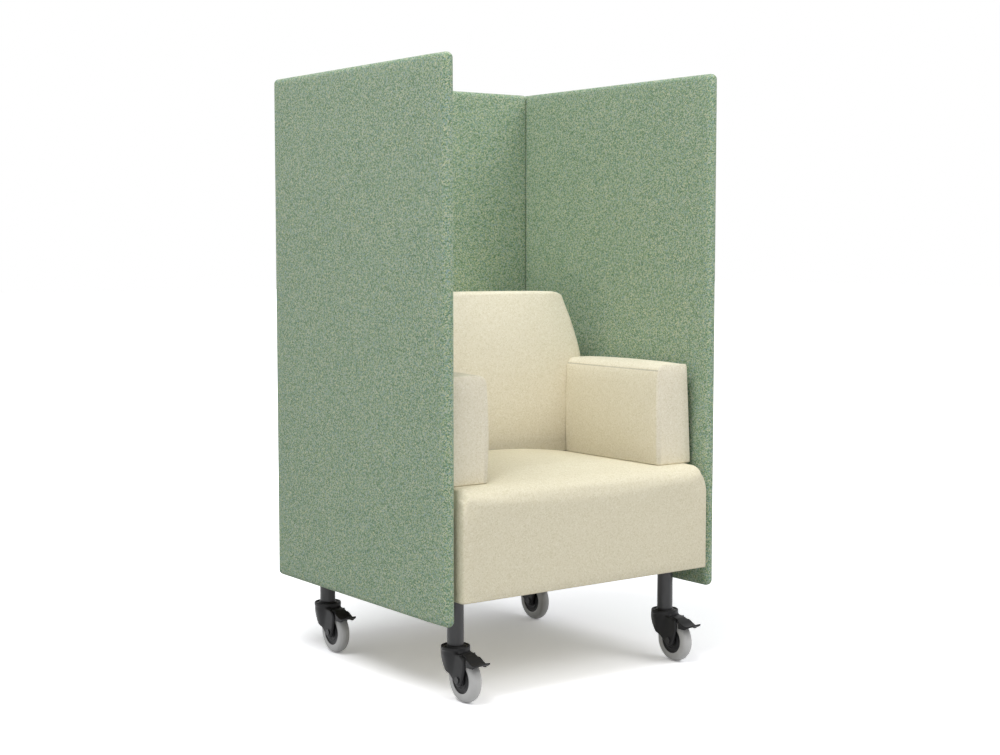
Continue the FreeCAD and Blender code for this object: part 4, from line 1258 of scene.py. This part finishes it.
@dataclass(frozen=True)
class CastorForms:
    """Shapes of a castor's moulded parts, about the swivel axis, with the floor at height 0.

    The outlines cheek, toe and tread are Y and Z, and the halves of hub and tyre are length, radius
    and rounding, all in millimetres.
    """

    trail: float = 0.036
    axle_height: float = 0.050
    axle_bore: float = 0.00405
    head_top: float = 0.1162
    head_radius: float = 0.0315
    head_half: float = 0.0045
    groove_radius: float = 0.0250
    groove_half: float = 0.0035
    groove_depth: float = 0.0030
    bearing_radius: float = 0.01405
    bearing_depth: float = 0.0032
    stem_bore: float = 0.008
    collar_radius: float = 0.0285
    collar_height: float = 0.102
    collar_half: float = 0.004
    skirt_radius: float = 0.0295
    skirt_top: float = 0.106
    skirt_foot: float = 0.062
    skirt_bend: float = 0.096
    skirt_taper: float = 0.22
    fork_half: float = 0.021
    slot_half: float = 0.015
    slot_front: float = -0.032
    slot_foot: float = 0.088
    wheel_room: float = 0.052
    cheek: tuple[Pair, ...] = (
        (-48, 40), (-42, 35), (-30, 35), (-24.5, 39), (8, 66), (24, 85), (24, 107), (-31, 107),
        (-46, 105.5), (-57, 100), (-60.5, 94), (-60.5, 80))
    pivot: Pair = (-0.042, 0.103)
    pivot_radius: float = 0.0020
    pedal_half: float = 0.0185
    pedal_neck: float = 0.0145
    pedal_ends: Pair = (-0.109, -0.034)
    plate: float = 0.003
    wall: float = 0.0036
    wall_ends: Pair = (-0.106, -0.0655)
    wall_foot: float = 0.0825
    shoe_ends: Pair = (-0.050, -0.0345)
    shoe_foot: float = 0.1015
    lip: Pair = (-0.1082, 0.0958)
    lip_radius: float = 0.0019
    toe: tuple[Pair, ...] = ((-58, 98), (-49, 102), (-49, 108), (-60, 106), (-61, 102))
    tread: tuple[Pair, ...] = (
        (-110.5, 96.5), (-107, 96), (-98, 91.5), (-88, 90.5), (-78, 93.5), (-67, 99.5),
        (-55, 104.2), (-44, 105.4), (-34, 106))
    tread_easing: tuple[float, ...] = (-0.003, -0.001, 0.001, 0.003)
    hub_half: tuple[tuple[float, float, float], ...] = (
        (14.7, 4.05, 0), (14.7, 9, 1), (11.3, 11, 1.2), (11.0, 17, 1), (12.0, 18.5, 0.6),
        (12.0, 20.5, 0.6), (11.0, 22, 0.6), (11.0, 27.2, 0.8), (12.2, 28.6, 0.6), (12.2, 30.5, 0))
    tyre_half: tuple[tuple[float, float, float], ...] = (
        (12.6, 30.55, 0.5), (13.0, 35.5, 2.0), (12.6, 42.5, 3.0), (9.4, 47.4, 2.0),
        (4.6, 49.5, 2.0))
    tyre_radius: float = 50.0

    def fork_distance(self, spots: np.ndarray) -> np.ndarray:
        """Distance to the head and fork: rim, collar, skirt and cheeks blended, less the hollows.

        Args:
            spots: places, as an array of triples.

        Returns:
            The distance, negative inside.
        """
        x, y, z = np.moveaxis(spots, -1, 0)
        radius, side = np.hypot(x, y), np.abs(x)
        from_axle = np.hypot(y + self.trail, z - self.axle_height)
        height = np.abs(z - self.head_top + self.head_half) - self.head_half
        rim = blend_max(radius - self.head_radius, height, 0.003)
        groove = blend_max(np.abs(radius - self.groove_radius) - self.groove_half,
                           self.head_top - self.groove_depth - z, 0.0015)
        rim = blend_max(rim, -groove, 0.0015)
        collar = blend_max(radius - self.collar_radius,
                           np.abs(z - self.collar_height) - self.collar_half, 0.003)
        taper = self.skirt_radius - self.skirt_taper * np.clip(self.skirt_bend - z, 0.0, None)
        skirt = blend_max(radius - taper, common(z - self.skirt_top, self.skirt_foot - z), 0.004)
        cheeks = blend_max(convex(y, z, self.cheek, 0.006), side - self.fork_half, 0.005)
        body = blend_min(blend_min(skirt, cheeks, 0.008), blend_min(rim, collar, 0.004), 0.003)
        hollows = (
            common(side - self.slot_half, from_axle - self.wheel_room),
            common(side - self.slot_half, y - self.slot_front, self.slot_foot - z),
            common(radius - self.bearing_radius, z - self.head_top + self.bearing_depth),
            radius - self.stem_bore,
            from_axle - self.axle_bore,
        )
        for hollow in hollows:
            body = blend_max(body, -hollow, 0.0016)
        return body

    def fork(self) -> Form:
        """Head and fork as one moulding."""
        return moulded(self.fork_distance, (-0.032, -0.061, 0.033), (0.032, 0.032, 0.117), 0.001)

    def tread_height(self, y: np.ndarray) -> np.ndarray:
        """Height of the pedal's top along its length, with its bends eased over 6 mm.

        Args:
            y: places along the pedal.

        Returns:
            The heights.
        """
        runs, heights = np.array(self.tread).T / MILLIMETRES
        eased = [np.interp(y + ease, runs, heights) for ease in self.tread_easing]
        return sum(eased) / len(eased)

    def pedal_distance(self, spots: np.ndarray) -> np.ndarray:
        """Distance to the brake pedal: plate, walls, shoe, toe, rolled lip and pivot stubs.

        The plate is narrow between the cheeks, wide beyond them, and ends in half an ellipse.

        Args:
            spots: places, as an array of triples.

        Returns:
            The distance, negative inside.
        """
        x, y, z = np.moveaxis(spots, -1, 0)
        side, top = np.abs(x), self.tread_height(y)
        over, neck, under = z - top, side - self.pedal_neck, z - top + 0.001
        wide = smooth_step(-y, 0.0610, 0.0640)
        narrowing = np.clip(-0.074 - y, 0.0, None) / 0.046
        tongue = np.sqrt(np.clip(1 - narrowing ** 2, 0.04, None))
        half = self.pedal_neck + (self.pedal_half - self.pedal_neck) * wide
        half = half - self.pedal_half * (1 - tongue)
        tip, root = self.pedal_ends
        outline = blend_max(side - half, common(y - root, tip - y), 0.004)
        plate = blend_max(blend_max(over, top - self.plate - z, 0.002), outline, 0.0016)
        rise = self.wall_foot - z
        walls = common(side - half, half - self.wall - side, under, rise,
                       rise + (-0.086 - y) * 0.55, y - self.wall_ends[1], self.wall_ends[0] - y)
        shoe = common(neck, under, self.shoe_foot - z, y - self.shoe_ends[1], self.shoe_ends[0] - y)
        toe = common(neck, under, convex(y, z, self.toe, 0.001))
        lip = np.hypot(y - self.lip[0], z - self.lip[1]) - self.lip_radius
        lip = blend_max(lip, side - half, 0.002)
        stubs = common(np.hypot(y - self.pivot[0], z - self.pivot[1]) - self.pivot_radius,
                       side - self.fork_half)
        body = blend_min(blend_min(plate, walls, 0.0015), blend_min(shoe, toe, 0.001), 0.001)
        return blend_min(blend_min(body, lip, 0.002), stubs, 0.0005)

    def pedal(self) -> Form:
        """Brake pedal as one moulding."""
        return moulded(self.pedal_distance, (-0.022, -0.112, 0.082), (0.022, -0.032, 0.114),
                       0.0008)

    def hub(self) -> Form:
        """Dished hub with a boss and a raised ring on each face."""
        mirrored = [(-length, radius, ease) for length, radius, ease in reversed(self.hub_half)]
        return revolved([*mirrored, *self.hub_half])

    def tyre(self) -> Form:
        """Tyre with rounded shoulders and a curved tread.

        Returns:
            The form.
        """
        mirrored = [(-length, radius, ease) for length, radius, ease in self.tyre_half]
        middle = (0.0, self.tyre_radius, 0)
        return revolved([*mirrored, middle, *reversed(self.tyre_half)], turns=96)


@dataclass(frozen=True)
class Undercarriage:
    """Legs and castors."""

    finishes: Finishes
    nodes: dict[str, bpy.types.Object]
    sizes: CastorForms = CastorForms()

    def build(self) -> None:
        """Makes the castors' moulded parts, and dresses them, the legs and the metal parts."""
        finishes = self.finishes
        forms = {"fork": (self.sizes.fork(), "swivel", "black_plastic", finishes.black_plastic),
                 "pedal": (self.sizes.pedal(), "brake", "black_plastic", finishes.black_plastic),
                 "hub": (self.sizes.hub(), "wheel", "black_plastic", finishes.black_plastic),
                 "tyre": (self.sizes.tyre(), "wheel", "grey_tyre", finishes.tread)}
        for leg in Leg:
            castor = f"castor_{leg.word}"
            low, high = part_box(f"{castor}_stem")
            swivel = np.array([(low[0] + high[0]) / 2, (low[1] + high[1]) / 2, 0.0])
            axle = swivel + np.array([0.0, -self.sizes.trail, self.sizes.axle_height])
            for part, (form, body, slot, finish) in forms.items():
                place = axle if body == "wheel" else swivel
                piece = form.placed(f"{castor}_{part}_form", place)
                settle(piece, f"{body}_{leg.word}", f"{castor}_{part}", finish)
            metal = {f"leg_{leg.word}": finishes.black_metal,
                     f"{castor}_axle": finishes.black_metal,
                     f"{castor}_stem": finishes.steel,
                     f"{castor}_bearing": finishes.steel}
            for node, finish in metal.items():
                dress(self.nodes[node], finish)


@dataclass(frozen=True)
class Woodwork:
    """Boards, rails and fasteners that the upholstery hides."""

    finishes: Finishes
    nodes: dict[str, bpy.types.Object]
    boards: tuple[str, ...] = (
        "screen_left_board", "screen_right_board", "screen_back_board", "base_board", "rail_front",
        "rail_rear", "rail_left", "rail_right", "seat_deck", "arm_left_core", "arm_right_core",
        "back_frame")
    fasteners: tuple[str, ...] = ("screen_bolts", "corner_screws", "arm_screws", "plate_screws")
    spacers: str = "screen_spacers"

    def build(self) -> None:
        """Dresses the boards, the fasteners and the spacers."""
        finished = {**dict.fromkeys(self.boards, self.finishes.ply),
                    **dict.fromkeys(self.fasteners, self.finishes.steel),
                    self.spacers: self.finishes.black_plastic}
        for node, finish in finished.items():
            dress(self.nodes[node], finish)
            LOG.info("%s: dressed", node)


@dataclass(frozen=True)
class Lamp:
    """Soft square lamp that hangs around the chair and shines at its middle.

    Azimuth 0 is straight ahead of the chair and 90 is at its left.
    """

    name: str
    azimuth: float
    elevation: float
    power: float
    distance: float = 5.0
    size: float = 2.5

    def hang(self) -> None:
        """Hangs the lamp."""
        data = bpy.data.lights.new(self.name, "AREA")
        data.size = self.size
        data.energy = self.power
        turn, rise = math.radians(self.azimuth), math.radians(self.elevation)
        reach = self.distance * math.cos(rise)
        lamp = add_object(self.name, data)
        lamp.location = (-reach * math.sin(turn), -reach * math.cos(turn),
                         AIM_HEIGHT + self.distance * math.sin(rise))
        lamp.rotation_euler = (math.pi / 2 - rise, 0.0, -turn)


@dataclass(frozen=True)
class Studio:
    """Floor, light and camera."""

    camera_place: Triple = (-2.2523, -3.0889, 0.9593)
    camera_turn: Triple = (85.444, 0.0, -36.242)
    lens: float = 59.157
    sensor: float = 36.0
    sky: float = 0.42
    floor_half: float = 30.0
    floor_bounce: float = 0.55
    floor_seen: Colour = (1.38, 1.385, 1.42)
    floor_glow: float = 0.13
    floor_far: float = 0.75
    floor_far_glow: float = 0.8
    lamps: tuple[Lamp, ...] = (
        Lamp("left_lamp", 70.0, 60.0, 162.0),
        Lamp("right_lamp", -30.0, 40.0, 76.0),
        Lamp("front_lamp", 10.0, 30.0, 20.0),
        Lamp("top_lamp", 30.0, 80.0, 20.0),
    )

    def floor(self) -> None:
        """Pale floor that is white to the eye and keeps the chair's shadow.

        To the eye it also glows faintly, and more from a set distance on.
        """
        half = self.floor_half
        points = np.array([[-half, -half, 0], [half, -half, 0], [half, half, 0], [-half, half, 0]])
        floor = new_mesh("studio_floor", points, np.array([[0, 1, 2, 3]]))
        paint = Shading("floor_paint")
        paint.tree.nodes.remove(paint.shader)
        plain = paint.node("BsdfDiffuse", Color=(*(self.floor_bounce,) * 3, 1.0))
        diffuse = paint.node("BsdfDiffuse", Color=(*self.floor_seen, 1.0))
        distance = paint.node("VectorMath", paint.place(), operation="LENGTH").outputs["Value"]
        beyond = paint.math("SUBTRACT", distance, self.floor_far, clamp=True)
        glow = paint.node("Emission", Strength=paint.math("MULTIPLY_ADD", beyond,
                                                          self.floor_far_glow, self.floor_glow))
        bright = paint.node("AddShader", diffuse.outputs[0], glow.outputs[0])
        mixed = paint.node("MixShader", paint.seen(), plain.outputs[0], bright.outputs[0])
        paint.feed(paint.output, Surface=mixed.outputs[0])
        dress(floor, paint.material)

    def world(self) -> None:
        """Even sky, white to the eye, in gloss and through glass."""
        world = bpy.data.worlds.new("studio_sky")
        bpy.context.scene.world = world
        world.use_nodes = True
        sky, white = Nodes(world.node_tree), (1.0, 1.0, 1.0, 1.0)
        light = sky.node("Background", Color=white, Strength=self.sky)
        plain = sky.node("Background", Color=white)
        mixed = sky.node("MixShader", sky.seen(), light.outputs[0], plain.outputs[0])
        sky.node("OutputWorld", Surface=mixed.outputs[0])

    def camera(self) -> None:
        """Camera at the photograph's place."""
        data = bpy.data.cameras.new("camera")
        data.lens = self.lens
        data.sensor_width = self.sensor
        data.clip_end = 100.0
        camera = add_object("camera", data)
        camera.location = self.camera_place
        camera.rotation_euler = tuple(math.radians(angle) for angle in self.camera_turn)
        bpy.context.scene.camera = camera

    def build(self) -> None:
        """Sets up the whole studio."""
        bpy.context.scene.view_settings.view_transform = "Standard"
        self.floor()
        self.world()
        for lamp in self.lamps:
            lamp.hang()
        self.camera()


def main() -> None:
    """Builds the chair and its studio."""
    logging.basicConfig(level=logging.INFO)
    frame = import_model()
    finishes = Finishes()
    Screens(finishes).build()
    Upholstery(finishes).build()
    Undercarriage(finishes, frame["nodes"]).build()
    Woodwork(finishes, frame["nodes"]).build()
    Studio().build()


if __name__ == "__main__":
    main()
